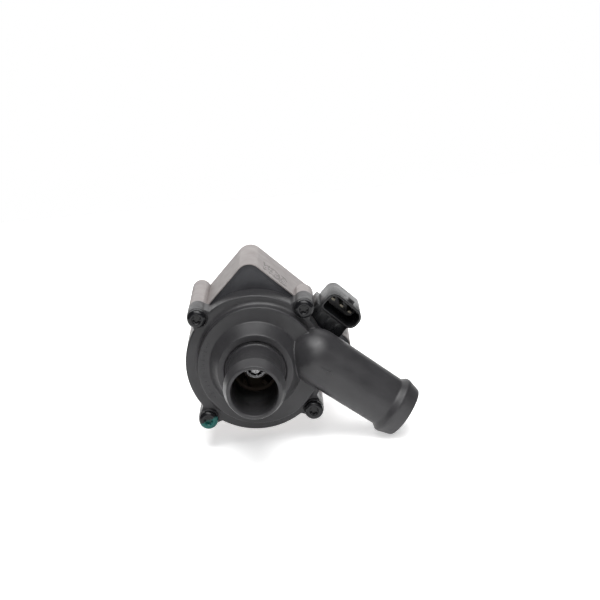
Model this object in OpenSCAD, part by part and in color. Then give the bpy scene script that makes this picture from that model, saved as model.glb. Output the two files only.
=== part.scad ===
// Electric auxiliary coolant pump with a wet rotor.
// Every module is drawn in the pump frame: the shaft is the local Z axis, Z is 0 on the flat rear
// face of the motor and grows towards the inlet, and local +X is the side that carries the connector.
// pose() turns that frame so that the shaft lies along Y and the inlet faces -Y.

/* [Stack along the shaft] */
// Thickness of the rear cover
rear_cover_t = 3; // [2:0.5:5]
// Length of the round barrel behind the square block
barrel_len = 11; // [10:1:20]
// Length of the square aluminium block
block_len = 31; // [29:1:45]
// Thickness of the black carrier plate in the front of the block
plate_t = 3.5; // [3:0.5:5]
// Height of the wide ring of the pump cover
ring_h = 9.6; // [9:0.1:14]
// Height of the volute casing in front of the wide ring
casing_h = 3.9; // [3.5:0.1:8]
// Height of the cone in front of the volute casing
cone_h = 6.1; // [5:0.1:10]
// Length of the inlet spigot in front of the cone
inlet_len = 24.8; // [20:0.1:40]

/* [Pump cover] */
// Radius of the wide ring
ring_r = 27.1; // [26:0.1:34]
// Radius of the volute casing
casing_r = 23.4; // [22.6:0.1:26]
// Distance from the shaft to the volute casing's axis, to the right
casing_shift = 1.2; // [0:0.1:2]
// Fillet at the foot of the volute casing
casing_fillet = 1.6; // [0.4:0.1:2]
// Radius where the cone starts
cone_foot_r = 17.8; // [16.5:0.1:20]
// Radius where the cone ends
cone_top_r = 14.1; // [12.5:0.1:16]
// Wall of the volute casing and the cone
cover_wall = 2.1; // [1.6:0.1:3]
// Radius of the impeller chamber
chamber_r = 22; // [21:0.1:23]

/* [Hose spigots] */
// Outer radius of both spigots
spigot_r = 10.15; // [9.4:0.05:11]
// Radius of both bores
spigot_bore_r = 8.6; // [6:0.05:8.9]
// Radius of the hose bead
bead_r = 11.65; // [11:0.05:14]
// Distance from a spigot's end back to the front of its bead land
bead_setback = 5.2; // [4:0.1:8]
// Length of the bead land
bead_land = 0.8; // [0.6:0.1:2]
// Radius of the spigots at the very end
spigot_end_r = 10.3; // [9.7:0.05:12.5]
// Direction of the outlet in the plane of the cover, from the right, downwards
outlet_angle = 39.6; // [30:0.1:50]
// Distance of the outlet axis from the shaft axis
outlet_offset = 15.85; // [12:0.05:17]
// Distance of the outlet's end from the shaft, along the outlet
outlet_reach = 58.5; // [50:0.5:90]
// Height of the outlet axis over the seam
outlet_lift = 11.3; // [10.9:0.1:14]
// Radius of the outlet at its root
outlet_root_r = 10.7; // [10:0.05:13]

/* [Cover screws] */
// Angle of the first screw lug
lug_angle = 45; // [0:1:90]
// Radius of the circle of cover screws
lug_circle_r = 29; // [28:0.1:36]
// Radius of a lug
lug_r = 3.9; // [3.5:0.1:6]
// Height of a lug over the wide ring's face
lug_rise = 1.4; // [0:0.1:3]
// Thread radius of a cover screw
screw_r = 1.75; // [1.5:0.05:2.2]
// Head radius of a cover screw
screw_head_r = 3.7; // [3:0.05:3.8]
// Head height of a cover screw
screw_head_h = 2.3; // [1.8:0.1:3]
// Length of a cover screw in the aluminium
screw_bite = 9; // [6:0.5:16]

/* [Motor housing] */
// Radius of the round side of the block
block_r = 27.2; // [26.5:0.1:34]
// Distance from the shaft to the flat that carries the connector
connector_flat = 28.2; // [28:0.1:36]
// Distance from the shaft to the two other flats
side_flat = 27.5; // [27:0.1:36]
// Rounding of the two square corners
corner_r = 5.5; // [3:0.1:7]
// Width of the aluminium rim around the carrier plate
rim_w = 0.4; // [0.3:0.1:2]
// Radius of the round bosses under the lugs
boss_r = 3.8; // [3.3:0.1:6]
// Floor under the screw in the short boss beside the connector
short_boss_floor = 1; // [0.8:0.1:6]
// Depth of the pocket behind the connector
pocket_depth = 2.2; // [0.5:0.1:2.4]
// Radius of the bore for the stator
stator_bore_r = 23.5; // [23.5:0.1:24]
// Outer radius of the barrel
barrel_r = 24; // [22.8:0.1:25]
// Width of the relief groove at the foot of the barrel
barrel_relief = 0.6; // [0.3:0.1:1.2]
// Radius of the bore for the circuit board
board_bore_r = 19.9; // [19.4:0.1:20.1]
// Tapping radius of the bracket holes
bracket_hole_r = 2.5; // [2:0.1:3]
// Depth of the bracket holes
bracket_hole_depth = 12; // [8:1:16]
// Distance of the bracket holes from the shaft
bracket_hole_reach = 31; // [30:0.1:33]

/* [Shaft and rotor] */
// Radius of the fixed shaft
shaft_r = 2.5; // [2:0.1:3]
// Running clearance of the bushes on the shaft
bush_gap = 0.05; // [0.02:0.01:0.1]
// Outer radius of the bushes
bush_r = 4.2; // [3.8:0.1:4.6]
// Outer radius of the impeller
impeller_r = 18.5; // [15:0.1:20]
// Number of impeller blades
blade_count = 6; // [5:1:8]
// Radius of the impeller's eye
eye_r = 7.8; // [7:0.1:9]
// Outer radius of the magnet
magnet_r = 12.3; // [11:0.1:12.5]
// Radius of the plastic sleeve inside the magnet
sleeve_r = 8; // [6.5:0.1:9]
// Inner radius of the separation can
can_r = 13; // [12.8:0.1:13.3]
// Wall of the separation can
can_wall = 0.8; // [0.5:0.1:0.9]

/* [Stator] */
// Length of the stator core
core_len = 16; // [12:0.5:20]
// Number of teeth
tooth_count = 6; // [6:3:9]
// Width of a tooth
tooth_w = 4.5; // [3.5:0.1:5]
// Width of a coil side
coil_w = 2.4; // [1.5:0.1:2.6]

/* [Connector] */
// Height of the shroud's mouth
shroud_h = 8.4; // [7.8:0.1:12]
// Width of the shroud's mouth
shroud_w = 16.1; // [15.5:0.1:22]
// Depth of the shroud
shroud_depth = 17.5; // [16:0.5:24]
// Wall of the shroud
shroud_wall = 0.8; // [0.7:0.1:1.2]
// Distance of the shroud from the flat
shroud_lift = 2.6; // [2:0.1:6]
// Distance of the shroud's near side from the line of the first lug
shroud_start = 6.5; // [6:0.1:8]
// Rounding of the shroud's corners
shroud_r = 3.6; // [2.5:0.1:3.8]
// Number of contacts
pin_count = 3; // [2:1:3]
// Distance between contacts
pin_pitch = 4.2; // [3.5:0.1:4.4]
// Length of the open space in front of the contact tips
pin_recess = 8; // [4.5:0.5:10]

/* [Hidden] */
$fn = 96;
cut = 1;
fit_gap = 0.1;
small_gap = 0.05;
run_gap = 0.8;

block_z = rear_cover_t + barrel_len;
seam_z = block_z + block_len;
ring_z = seam_z + ring_h;
lug_z = ring_z + lug_rise;
casing_z = ring_z + casing_h;
cone_z = casing_z + cone_h;
inlet_z = cone_z + inlet_len;
outlet_z = seam_z + outlet_lift;
chamber_z = ring_z - cover_wall;
face_z = casing_z - cover_wall;
chamber_front_z = cone_z - cover_wall;

groove_depth = 0.6;
groove_r = 11.7;
root_flare = 1.3;
lip_h = 1.1;
lip_w = 0.4;
bead_ramp = 2;
end_round = 0.5;

seal_section = 0.75;
cover_seal_r = chamber_r + 0.5 + seal_section;

board_t = 1.6;
board_gap = 0.2;
board_r = board_bore_r - board_gap;
board_ledge = 1.4;
board_front_z = block_z - 2;
board_back_z = board_front_z - board_t;

short_boss = screw_bite + short_boss_floor;

rear_screw_r = 1;
rear_screw_head_r = 1.5;
rear_screw_head_h = 1.2;
rear_screw_sink = 0.3;
rear_screw_len = 7;
rear_screw_count = 4;
rear_screw_circle_r = (barrel_r + board_bore_r) / 2;
rear_seal_section = 0.5;
plug_wall = 1.5;

core_z = block_z + 7;
core_top_z = core_z + core_len;
core_r = stator_bore_r - small_gap;
core_ring = 3.4;
tooth_tip_r = can_r + can_wall + 0.5;
tooth_tip_h = 1.3;
tooth_tip_w = 9;
insulator_t = 0.4;
coil_over = 3;
coil_in_r = tooth_tip_r + tooth_tip_h + 0.4;
coil_half_w = tooth_w / 2 + insulator_t + coil_w;
coil_out_r = sqrt(pow(core_r - core_ring, 2) - pow(coil_half_w, 2)) - fit_gap;
coil_back_z = core_z - coil_over;
coil_room_r = 22;

can_bottom_z = block_z + 1.4;
can_bottom_t = 2;
can_floor_z = can_bottom_z + can_bottom_t;
can_socket_r = 4.6;
can_socket_h = 2.6;
can_flange_r = 20.5;
can_flange_t = 1.2;
shaft_z = can_bottom_z + 1;
shaft_top_z = chamber_front_z - 0.8;
rotor_back_z = can_floor_z + can_socket_h + 0.5;
bush_len = 7;
rotor_disc_z = seam_z + 1.2;
disc_t = 1.5;
hub_r = bush_r + 1.3;
retainer_r = 4.3;
retainer_t = 0.8;
washer_t = 0.8;
washer_r = 4.2;
retainer_z = shaft_top_z - 2.8;
washer_z = retainer_z - washer_t;
hub_top_z = washer_z - 0.3;
impeller_top_z = chamber_front_z - 1.5;
shroud_t = 1.1;
shroud_edge_z = face_z - run_gap - shroud_t;
shroud_bend_r = cone_foot_r - cover_wall - 1.5;
blade_t = 1.2;
blade_sweep = 55;
magnet_z = core_z + 0.5;
magnet_len = core_len + 3;
jacket_t = 0.2;

base_w = shroud_w - shroud_wall;
base_start = shroud_start - 1.3;
base_depth = shroud_depth + 0.5;
base_low = connector_flat - 3.7;
shroud_low = connector_flat + shroud_lift;
shroud_mid = shroud_low + shroud_h / 2;
shroud_floor_z = seam_z - shroud_depth + 2.6;
pin_t = 0.8;
pin_w = 1.5;
pin_first = shroud_start + shroud_w / 2 - pin_pitch * (pin_count - 1) / 2;
lead_pitch = 2.6;
lead_first = base_start + 1.8;
lead_x = base_low - 0.6;
lead_riser_z = seam_z - shroud_depth + 0.9;
lead_turn_z = block_z + 2.4;
lead_tail_x = 12.9;
lead_tail_z = board_back_z - 0.4;
lead_end_x = lead_x + pin_t / 2;
channel_start = base_start + 0.2;
channel_w = 3 * lead_pitch + 0.6;
channel_back_z = lead_turn_z - 0.9;
latch_w = 2.6;
latch_len = 3;
latch_h = 1;
latch_at = 15.6;
latch_back = 4;

// Points of an arc about (x, y), from angle a to angle b
function arc(x, y, r, a, b, n = 8) =
    [for (i = [0:n]) [x + r * cos(a + (b - a) * i / n), y + r * sin(a + (b - a) * i / n)]];

// Outer profile of a hose spigot's end, from its bead to its lip, for an end at the given height
function spigot_end(end_z, tube_r) = concat(
    [[tube_r, end_z - bead_setback - bead_land - bead_ramp]],
    [[bead_r, end_z - bead_setback - bead_land], [bead_r, end_z - bead_setback]],
    arc(spigot_end_r - end_round, end_z - end_round, end_round, 15, 90, 4),
    [[spigot_bore_r + lip_w, end_z], [spigot_bore_r, end_z - lip_h]]);

module pose() {
    rotate([90, 0, 0])
        rotate([0, 0, lug_angle])
            children();
}

module at_lugs() {
    for (i = [0:3])
        rotate([0, 0, 90 * i])
            translate([lug_circle_r, 0, 0])
                children();
}

module ring(outer_r, inner_r, z, h) {
    translate([0, 0, z])
        difference() {
            cylinder(r = outer_r, h = h);
            translate([0, 0, -cut])
                cylinder(r = inner_r, h = h + 2 * cut);
        }
}

module o_ring(r, section, z) {
    translate([0, 0, z])
        rotate_extrude()
            translate([r, 0])
                circle(r = section, $fn = 32);
}

// Six-lobed drive of a screw head
module drive(r, z, h) {
    translate([0, 0, z])
        difference() {
            cylinder(r = r, h = h, $fn = 48);
            for (i = [0:5])
                rotate([0, 0, 60 * i])
                    translate([r * 1.12, 0, -cut])
                        cylinder(r = r * 0.3, h = h + 2 * cut, $fn = 32);
        }
}

// Outline of the block, drawn in by an inset
module block_outline(inset = 0) {
    circle(r = block_r - inset);
    translate([0, -(side_flat - inset)])
        square([connector_flat - corner_r, 2 * (side_flat - inset)]);
    translate([0, -(side_flat - corner_r)])
        square([connector_flat - inset, 2 * (side_flat - corner_r)]);
    for (s = [-1, 1])
        translate([connector_flat - corner_r, s * (side_flat - corner_r)])
            circle(r = corner_r - inset);
}

// Room of the carrier plate: the outline without the lug bosses and the connector's base
module plate_outline(gap) {
    difference() {
        block_outline(rim_w + gap);
        for (i = [0:3])
            rotate(90 * i)
                translate([lug_circle_r, 0])
                    circle(r = boss_r + gap);
    }
}

module connector_window(gap, z, h) {
    translate([base_low - gap, -(base_start + base_w) - gap, z])
        cube([connector_flat - base_low + 2 * gap + cut, base_w + 2 * gap, h]);
}

// Places a child that lies along +X on the outlet's axis, with X counted from the shaft
module on_outlet() {
    rotate([0, 0, -outlet_angle - lug_angle])
        translate([0, outlet_offset, outlet_z])
            rotate([0, 90, 0])
                children();
}

outlet_start = 17.5;
bore_start = 11;
throat_r = 6.4;
throat_end = 32;

module outlet_outside() {
    on_outlet()
        rotate_extrude()
            polygon(concat(
                arc(0, outlet_start, outlet_root_r, -90, 0, 12),
                spigot_end(outlet_reach, spigot_r),
                [[0, outlet_reach - lip_h]]));
}

module outlet_bore() {
    on_outlet()
        rotate_extrude()
            polygon([[0, bore_start], [throat_r - 1, bore_start], [throat_r, bore_start + 1],
                [spigot_bore_r, throat_end],
                [spigot_bore_r, outlet_reach - lip_h],
                [spigot_bore_r + lip_w, outlet_reach], [spigot_bore_r + lip_w, outlet_reach + cut],
                [0, outlet_reach + cut]]);
}

// Moves a child from the shaft to the axis of the volute casing
module on_casing() {
    rotate([0, 0, -lug_angle])
        translate([casing_shift, 0, 0])
            children();
}

module cover_shell() {
    rotate_extrude()
        polygon(concat(
            [[0, seam_z], [ring_r, seam_z], [ring_r, ring_z - end_round]],
            [[ring_r - end_round, ring_z], [cone_foot_r, ring_z], [cone_foot_r, casing_z]],
            [[cone_top_r + 0.3, cone_z - 0.4], [cone_top_r - 0.2, cone_z]],
            [[groove_r + 0.6, cone_z], [groove_r, cone_z - groove_depth]],
            [[spigot_r + root_flare - 0.4, cone_z - groove_depth]],
            [[spigot_r + root_flare - 0.6, cone_z + 0.4], [spigot_r + 0.3, cone_z + 2.4]],
            [[spigot_r, cone_z + 6]],
            spigot_end(inlet_z, spigot_r),
            [[0, inlet_z - lip_h]]));
}

module volute_casing() {
    on_casing()
        rotate_extrude()
            polygon(concat(
                [[0, seam_z + 1], [casing_r + casing_fillet, seam_z + 1]],
                arc(casing_r + casing_fillet, ring_z + casing_fillet, casing_fillet, 270, 180, 8),
                [[casing_r, casing_z - 0.4], [casing_r - 0.4, casing_z], [0, casing_z]]));
}

// Room for the impeller: a flat chamber, the volute casing's room and a cone towards the inlet
module impeller_room() {
    translate([0, 0, seam_z - cut])
        cylinder(r = chamber_r, h = chamber_z - seam_z + cut);
    on_casing()
        translate([0, 0, seam_z])
            cylinder(r = casing_r - cover_wall, h = face_z - seam_z);
    translate([0, 0, face_z])
        cylinder(r1 = cone_foot_r - cover_wall, r2 = cone_top_r - cover_wall,
            h = chamber_front_z - face_z);
}

module volute_cover() {
    color("#3a3b3f")
        pose()
            difference() {
                union() {
                    cover_shell();
                    volute_casing();
                    outlet_outside();
                    at_lugs() {
                        translate([0, 0, seam_z])
                            cylinder(r = lug_r, h = lug_z - seam_z);
                        translate([-lug_r - 1.5, -lug_r, seam_z])
                            cube([lug_r + 1.5, 2 * lug_r, ring_h]);
                    }
                }
                impeller_room();
                outlet_bore();
                translate([0, 0, seam_z])
                    cylinder(r = spigot_bore_r, h = inlet_z - seam_z - lip_h + cut);
                ring(cover_seal_r + seal_section + small_gap, chamber_r - cut, seam_z - cut,
                    2 * seal_section + cut);
                at_lugs()
                    translate([0, 0, seam_z - cut])
                        cylinder(r = screw_r + fit_gap, h = lug_z - seam_z + 2 * cut, $fn = 48);
            }
}

module cover_screw() {
    translate([0, 0, seam_z - screw_bite])
        cylinder(r = screw_r, h = lug_z - seam_z + screw_bite + small_gap, $fn = 48);
    difference() {
        translate([0, 0, lug_z])
            rotate_extrude($fn = 64)
                polygon(concat([[0, 0], [screw_head_r, 0], [screw_head_r, 0.7]],
                    [[screw_head_r - 0.35, 1.4], [screw_head_r - 1, screw_head_h - 0.15]],
                    [[screw_head_r - 1.5, screw_head_h], [0, screw_head_h]]));
        drive(1.65, lug_z + screw_head_h - 1.5, 1.5 + cut);
    }
}

module cover_screws() {
    color("#15151a")
        pose()
            at_lugs()
                cover_screw();
}

module cover_seal() {
    color("#1b1b1b")
        pose()
            o_ring(cover_seal_r, seal_section, seam_z + seal_section);
}

module carrier_plate() {
    color("#2c2d30")
        pose()
            difference() {
                translate([0, 0, seam_z - plate_t])
                    linear_extrude(plate_t)
                        plate_outline(fit_gap);
                translate([0, 0, seam_z - can_flange_t])
                    cylinder(r = can_flange_r + fit_gap, h = can_flange_t + cut);
                translate([0, 0, seam_z - plate_t - cut])
                    cylinder(r = can_r + can_wall + fit_gap, h = plate_t + 2 * cut);
                ring(can_r + can_wall + 4, can_r + can_wall + 2.4, seam_z - can_flange_t - 1.2, 2);
                connector_window(fit_gap, seam_z - plate_t - cut, plate_t + 2 * cut);
            }
}

module can_seal() {
    color("#1b1b1b")
        pose()
            o_ring(can_r + can_wall + 3.2, 0.6, seam_z - can_flange_t - 0.6);
}

module separation_can() {
    color("#5c6066")
        pose()
            difference() {
                union() {
                    translate([0, 0, can_bottom_z])
                        cylinder(r = can_r + can_wall, h = seam_z - can_bottom_z);
                    translate([0, 0, seam_z - can_flange_t])
                        cylinder(r = can_flange_r, h = can_flange_t);
                }
                difference() {
                    translate([0, 0, can_floor_z])
                        cylinder(r = can_r, h = seam_z - can_floor_z + cut);
                    translate([0, 0, can_floor_z - cut])
                        cylinder(r = can_socket_r, h = can_socket_h + cut, $fn = 64);
                }
                translate([0, 0, shaft_z])
                    cylinder(r = shaft_r, h = can_socket_h + can_bottom_t + cut, $fn = 64);
            }
}

module shaft() {
    color("#c9ccd0")
        pose()
            translate([0, 0, shaft_z])
                rotate_extrude($fn = 64)
                    polygon([[0, 0], [shaft_r, 0], [shaft_r, shaft_top_z - shaft_z - 0.6],
                        [shaft_r - 0.6, shaft_top_z - shaft_z], [0, shaft_top_z - shaft_z]]);
}

// Spring-steel star lock: a dished ring with teeth that grip the shaft
module shaft_retainer() {
    color("#d6d8da")
        pose()
            difference() {
                translate([0, 0, retainer_z])
                    rotate_extrude($fn = 64)
                        polygon([[shaft_r + 0.02, retainer_t], [retainer_r - 0.9, 0],
                            [retainer_r, 0], [retainer_r, retainer_t],
                            [retainer_r - 0.9, retainer_t], [shaft_r + 0.02, 2 * retainer_t]]);
                for (i = [0:7])
                    rotate([0, 0, 45 * i])
                        translate([0, -0.2, retainer_z - cut])
                            cube([retainer_r - 0.8, 0.4, 3 * retainer_t + cut]);
            }
}

module thrust_washer() {
    color("#8f8f8a")
        pose()
            ring(washer_r, shaft_r + 0.02, washer_z, washer_t);
}

// Outline of one backward-swept blade
module blade_outline() {
    sweep_r = (impeller_r + hub_r) / 2;
    intersection() {
        difference() {
            circle(r = impeller_r - 0.2);
            circle(r = hub_r + 1.6);
        }
        translate([0, sweep_r - hub_r / 2])
            difference() {
                circle(r = sweep_r);
                circle(r = sweep_r - blade_t);
                translate([-2 * sweep_r, -2 * sweep_r])
                    square([2 * sweep_r, 4 * sweep_r]);
            }
    }
}

// Section of the impeller's front shroud, which follows the casing and the cone at a running gap
function shroud_section() =
    [[impeller_r, shroud_edge_z], [impeller_r, shroud_edge_z + shroud_t],
    [shroud_bend_r, shroud_edge_z + shroud_t + 0.2], [eye_r + 2.2, impeller_top_z - 1.2],
    [eye_r + 1.2, impeller_top_z], [eye_r, impeller_top_z], [eye_r + 0.9, impeller_top_z - 2.2],
    [shroud_bend_r - 0.6, shroud_edge_z + 0.2]];

module blades() {
    foot_z = rotor_disc_z + disc_t - small_gap;
    intersection() {
        for (i = [0:blade_count - 1])
            rotate([0, 0, 360 / blade_count * i])
                translate([0, 0, foot_z])
                    linear_extrude(impeller_top_z - foot_z)
                        blade_outline();
        rotate_extrude()
            polygon([[0, foot_z], [impeller_r, foot_z], [impeller_r, shroud_edge_z + shroud_t / 2],
                [shroud_bend_r, shroud_edge_z + shroud_t / 2 + 0.2],
                [eye_r + 1.7, impeller_top_z - 2], [hub_r, shroud_edge_z + shroud_t / 2],
                [0, shroud_edge_z]]);
    }
}

module impeller() {
    color("#2b2a2b")
        pose()
            difference() {
                union() {
                    translate([0, 0, rotor_disc_z])
                        cylinder(r = impeller_r, h = disc_t);
                    translate([0, 0, rotor_disc_z])
                        cylinder(r = hub_r, h = hub_top_z - rotor_disc_z);
                    blades();
                    rotate_extrude()
                        polygon(shroud_section());
                }
                translate([0, 0, rotor_disc_z - cut])
                    cylinder(r = bush_r, h = hub_top_z - rotor_disc_z + 2 * cut, $fn = 64);
            }
}

module front_bush() {
    color("#3b3a3d")
        pose()
            ring(bush_r, shaft_r + bush_gap, hub_top_z - bush_len, bush_len);
}

module rear_bush() {
    color("#3b3a3d")
        pose()
            ring(bush_r, shaft_r + bush_gap, rotor_back_z, bush_len);
}

module rotor_sleeve() {
    color("#4a453f")
        pose()
            difference() {
                translate([0, 0, rotor_back_z])
                    cylinder(r = sleeve_r, h = rotor_disc_z - rotor_back_z);
                translate([0, 0, rotor_back_z - cut])
                    cylinder(r = bush_r, h = rotor_disc_z - rotor_back_z + 2 * cut, $fn = 64);
            }
}

module rotor_magnet() {
    color("#3f4146")
        pose()
            ring(magnet_r, sleeve_r, magnet_z, magnet_len);
}

module rotor_jacket() {
    color("#b9bcc0")
        pose()
            ring(magnet_r + jacket_t, magnet_r, magnet_z, magnet_len);
}

module at_teeth() {
    for (i = [0:tooth_count - 1])
        rotate([0, 0, 360 / tooth_count * i])
            children();
}

module stator_core() {
    color("#7d8085")
        pose()
            translate([0, 0, core_z])
                linear_extrude(core_len)
                    difference() {
                        union() {
                            difference() {
                                circle(r = core_r);
                                circle(r = core_r - core_ring);
                            }
                            at_teeth() {
                                translate([tooth_tip_r - 1, -tooth_w / 2])
                                    square([core_r - tooth_tip_r - 1, tooth_w]);
                                intersection() {
                                    difference() {
                                        circle(r = tooth_tip_r + tooth_tip_h);
                                        circle(r = tooth_tip_r - 1);
                                    }
                                    translate([0, -tooth_tip_w / 2])
                                        square([tooth_tip_r * 2, tooth_tip_w]);
                                }
                            }
                        }
                        circle(r = tooth_tip_r);
                    }
}

// Rectangular tube around a tooth, between two radii
module tooth_wrap(inner_w, wall, low_z, high_z, r_in, r_out, over) {
    at_teeth()
        difference() {
            translate([r_in, -inner_w / 2 - wall, low_z - over])
                cube([r_out - r_in, inner_w + 2 * wall, high_z - low_z + 2 * over]);
            translate([r_in - cut, -inner_w / 2, low_z])
                cube([r_out - r_in + 2 * cut, inner_w, high_z - low_z]);
        }
}

module stator_insulators() {
    color("#e8e2d0")
        pose()
            tooth_wrap(tooth_w, insulator_t, core_z, core_top_z, coil_in_r - 0.3, coil_out_r,
                insulator_t);
}

module stator_coils() {
    color("#b3673a")
        pose()
            tooth_wrap(tooth_w + 2 * insulator_t, coil_w, core_z - insulator_t,
                core_top_z + insulator_t, coil_in_r, coil_out_r, coil_over - insulator_t);
}

module at_phases() {
    for (i = [2:4])
        rotate([0, 0, 60 * i])
            translate([(coil_in_r + coil_out_r) / 2, 0, 0])
                children();
}

module phase_leads() {
    color("#c07a4a")
        pose()
            at_phases()
                translate([0, 0, lead_tail_z])
                    cylinder(r = 0.5, h = coil_back_z - lead_tail_z, $fn = 32);
}

module bracket_holes() {
    for (s = [-1, 1])
        rotate([0, 0, 45 * s])
            translate([bracket_hole_reach, 0, block_z - cut])
                cylinder(r = bracket_hole_r, h = bracket_hole_depth + cut, $fn = 64);
}

module at_rear_screws() {
    for (i = [0:rear_screw_count - 1])
        rotate([0, 0, 45 + 360 / rear_screw_count * i])
            translate([rear_screw_circle_r, 0, 0])
                children();
}

module motor_housing() {
    color("#b9b2b1")
        pose()
            difference() {
                union() {
                    translate([0, 0, block_z])
                        linear_extrude(block_len)
                            block_outline();
                    translate([0, 0, rear_cover_t])
                        cylinder(r = barrel_r, h = barrel_len + cut);
                    translate([lug_circle_r, 0, seam_z - short_boss])
                        cylinder(r = boss_r, h = short_boss);
                    for (i = [1:3])
                        rotate([0, 0, 90 * i])
                            translate([lug_circle_r, 0, block_z])
                                cylinder(r = boss_r, h = block_len);
                }
                ring(barrel_r + cut, barrel_r - 0.4, block_z - barrel_relief, barrel_relief);
                translate([connector_flat - pocket_depth, -(base_start + base_w), block_z - cut])
                    cube([pocket_depth + cut, base_w, seam_z - base_depth - block_z + 2 * cut]);
                translate([0, 0, seam_z - plate_t])
                    linear_extrude(plate_t + cut)
                        plate_outline(0);
                translate([0, 0, core_z])
                    cylinder(r = stator_bore_r, h = seam_z - core_z - plate_t + small_gap);
                translate([0, 0, block_z + 1.2])
                    cylinder(r = coil_room_r, h = core_z - block_z - 1.2 + small_gap);
                translate([0, 0, board_front_z])
                    cylinder(r = board_bore_r - board_ledge, h = core_z - board_front_z);
                translate([0, 0, rear_cover_t - cut])
                    cylinder(r = board_bore_r, h = board_front_z - rear_cover_t + cut);
                connector_window(fit_gap, seam_z - base_depth - fit_gap, base_depth + cut);
                translate([lead_tail_x - 1.5, -(channel_start + channel_w), channel_back_z])
                    cube([lead_end_x - lead_tail_x + 1.9, channel_w,
                        seam_z - plate_t - channel_back_z]);
                at_lugs()
                    translate([0, 0, seam_z - screw_bite - 0.5])
                        cylinder(r = screw_r + small_gap, h = screw_bite + 0.5 + cut, $fn = 48);
                at_rear_screws()
                    translate([0, 0, rear_cover_t - cut])
                        cylinder(r = rear_screw_r + small_gap, h = rear_screw_len + cut, $fn = 32);
                bracket_holes();
            }
}

module circuit_board() {
    color("#1f6b45")
        pose()
            difference() {
                translate([0, 0, board_back_z])
                    cylinder(r = board_r, h = board_t);
                at_phases()
                    translate([0, 0, board_back_z - cut])
                        cylinder(r = 0.6, h = board_t + 2 * cut, $fn = 32);
                for (i = [0:pin_count - 1])
                    translate([lead_tail_x, -(lead_first + lead_pitch * i), board_back_z - cut])
                        cylinder(r = 0.7, h = board_t + 2 * cut, $fn = 32);
            }
}

module capacitors() {
    color("#8b8f94")
        pose()
            for (s = [-1, 1])
                translate([-9.5, 5.2 * s, board_back_z - 6.6])
                    rotate_extrude($fn = 64)
                        polygon([[0, 0], [3.6, 0], [4, 0.4], [4, 5], [3.7, 5.3], [4, 5.6], [4, 6.6],
                            [0, 6.6]]);
}

module choke() {
    color("#4a4c50")
        pose()
            translate([-3.5, 8.2, board_back_z - 4.2])
                difference() {
                    cube([7, 7, 4.2]);
                    for (x = [-cut, 7 - 0.6])
                        translate([x, 1.5, 1])
                            cube([0.6 + cut, 4, 2.2]);
                }
}

module power_transistors() {
    color("#242527")
        pose()
            for (x = [0, 6.4], y = [-11, -4.4, 2.2])
                translate([x - 0.5, y, board_back_z - 1.1])
                    cube([5.2, 5.6, 1.1]);
}

module control_chip() {
    color("#1d1e20")
        pose()
            translate([-8.2, -16, board_back_z - 1])
                difference() {
                    cube([6, 6, 1]);
                    translate([1, 1, -cut])
                        cylinder(r = 0.4, h = cut + 0.15, $fn = 32);
                }
}

pedestal_h = board_back_z - rear_cover_t - 2.1;

module thermal_pad() {
    color("#9fb7c9")
        pose()
            translate([-0.2, -10.6, rear_cover_t + pedestal_h])
                cube([11, 18, 1]);
}

module rear_cover() {
    color("#b4adab")
        pose()
            difference() {
                union() {
                    cylinder(r = barrel_r, h = rear_cover_t);
                    difference() {
                        ring(board_bore_r - small_gap, board_bore_r - plug_wall, rear_cover_t - cut,
                            board_back_z - rear_cover_t + cut);
                        ring(board_bore_r + 1, board_bore_r - 2 * rear_seal_section - 0.03,
                            rear_cover_t + 1, 2 * rear_seal_section + fit_gap);
                    }
                    translate([0.3, -10.1, rear_cover_t - cut])
                        cube([10, 17, pedestal_h + cut]);
                }
                at_rear_screws() {
                    translate([0, 0, -cut])
                        cylinder(r = rear_screw_r + fit_gap, h = rear_cover_t + 2 * cut, $fn = 32);
                    translate([0, 0, -cut])
                        cylinder(r = rear_screw_head_r + fit_gap,
                            h = rear_screw_head_h + rear_screw_sink + cut, $fn = 48);
                }
            }
}

module rear_seal() {
    color("#1b1b1b")
        pose()
            o_ring(board_bore_r - rear_seal_section, rear_seal_section,
                rear_cover_t + 1 + rear_seal_section + small_gap);
}

module rear_screws() {
    color("#8d9096")
        pose()
            at_rear_screws()
                difference() {
                    union() {
                        translate([0, 0, rear_screw_sink])
                            cylinder(r = rear_screw_head_r, h = rear_screw_head_h, $fn = 48);
                        translate([0, 0, rear_screw_sink])
                            cylinder(r = rear_screw_r, h = rear_screw_len, $fn = 32);
                    }
                    translate([0, 0, rear_screw_sink])
                        rotate([180, 0, 0])
                            drive(0.9, -0.8, 0.8 + cut);
                }
}

// Outline of the shroud: three rounded corners and one tight corner next to the first lug
module shroud_outline(inset) {
    low = shroud_low + inset;
    high = shroud_low + shroud_h - inset;
    near = -(shroud_start + inset);
    far = -(shroud_start + shroud_w - inset);
    r = shroud_r - inset;
    tight = 1.4 - inset / 2;
    translate([low + r, far])
        square([high - low - 2 * r, near - far]);
    translate([low, far + r])
        square([high - low, near - far - 2 * r]);
    translate([low, near - r - cut])
        square([r + cut, r + cut - tight]);
    translate([low + tight, near - r - cut])
        square([r + cut - tight, r + cut]);
    translate([low + tight, near - tight])
        circle(r = tight);
    for (p = [[low + r, far + r], [high - r, far + r], [high - r, near - r]])
        translate(p)
            circle(r = r);
}

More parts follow.
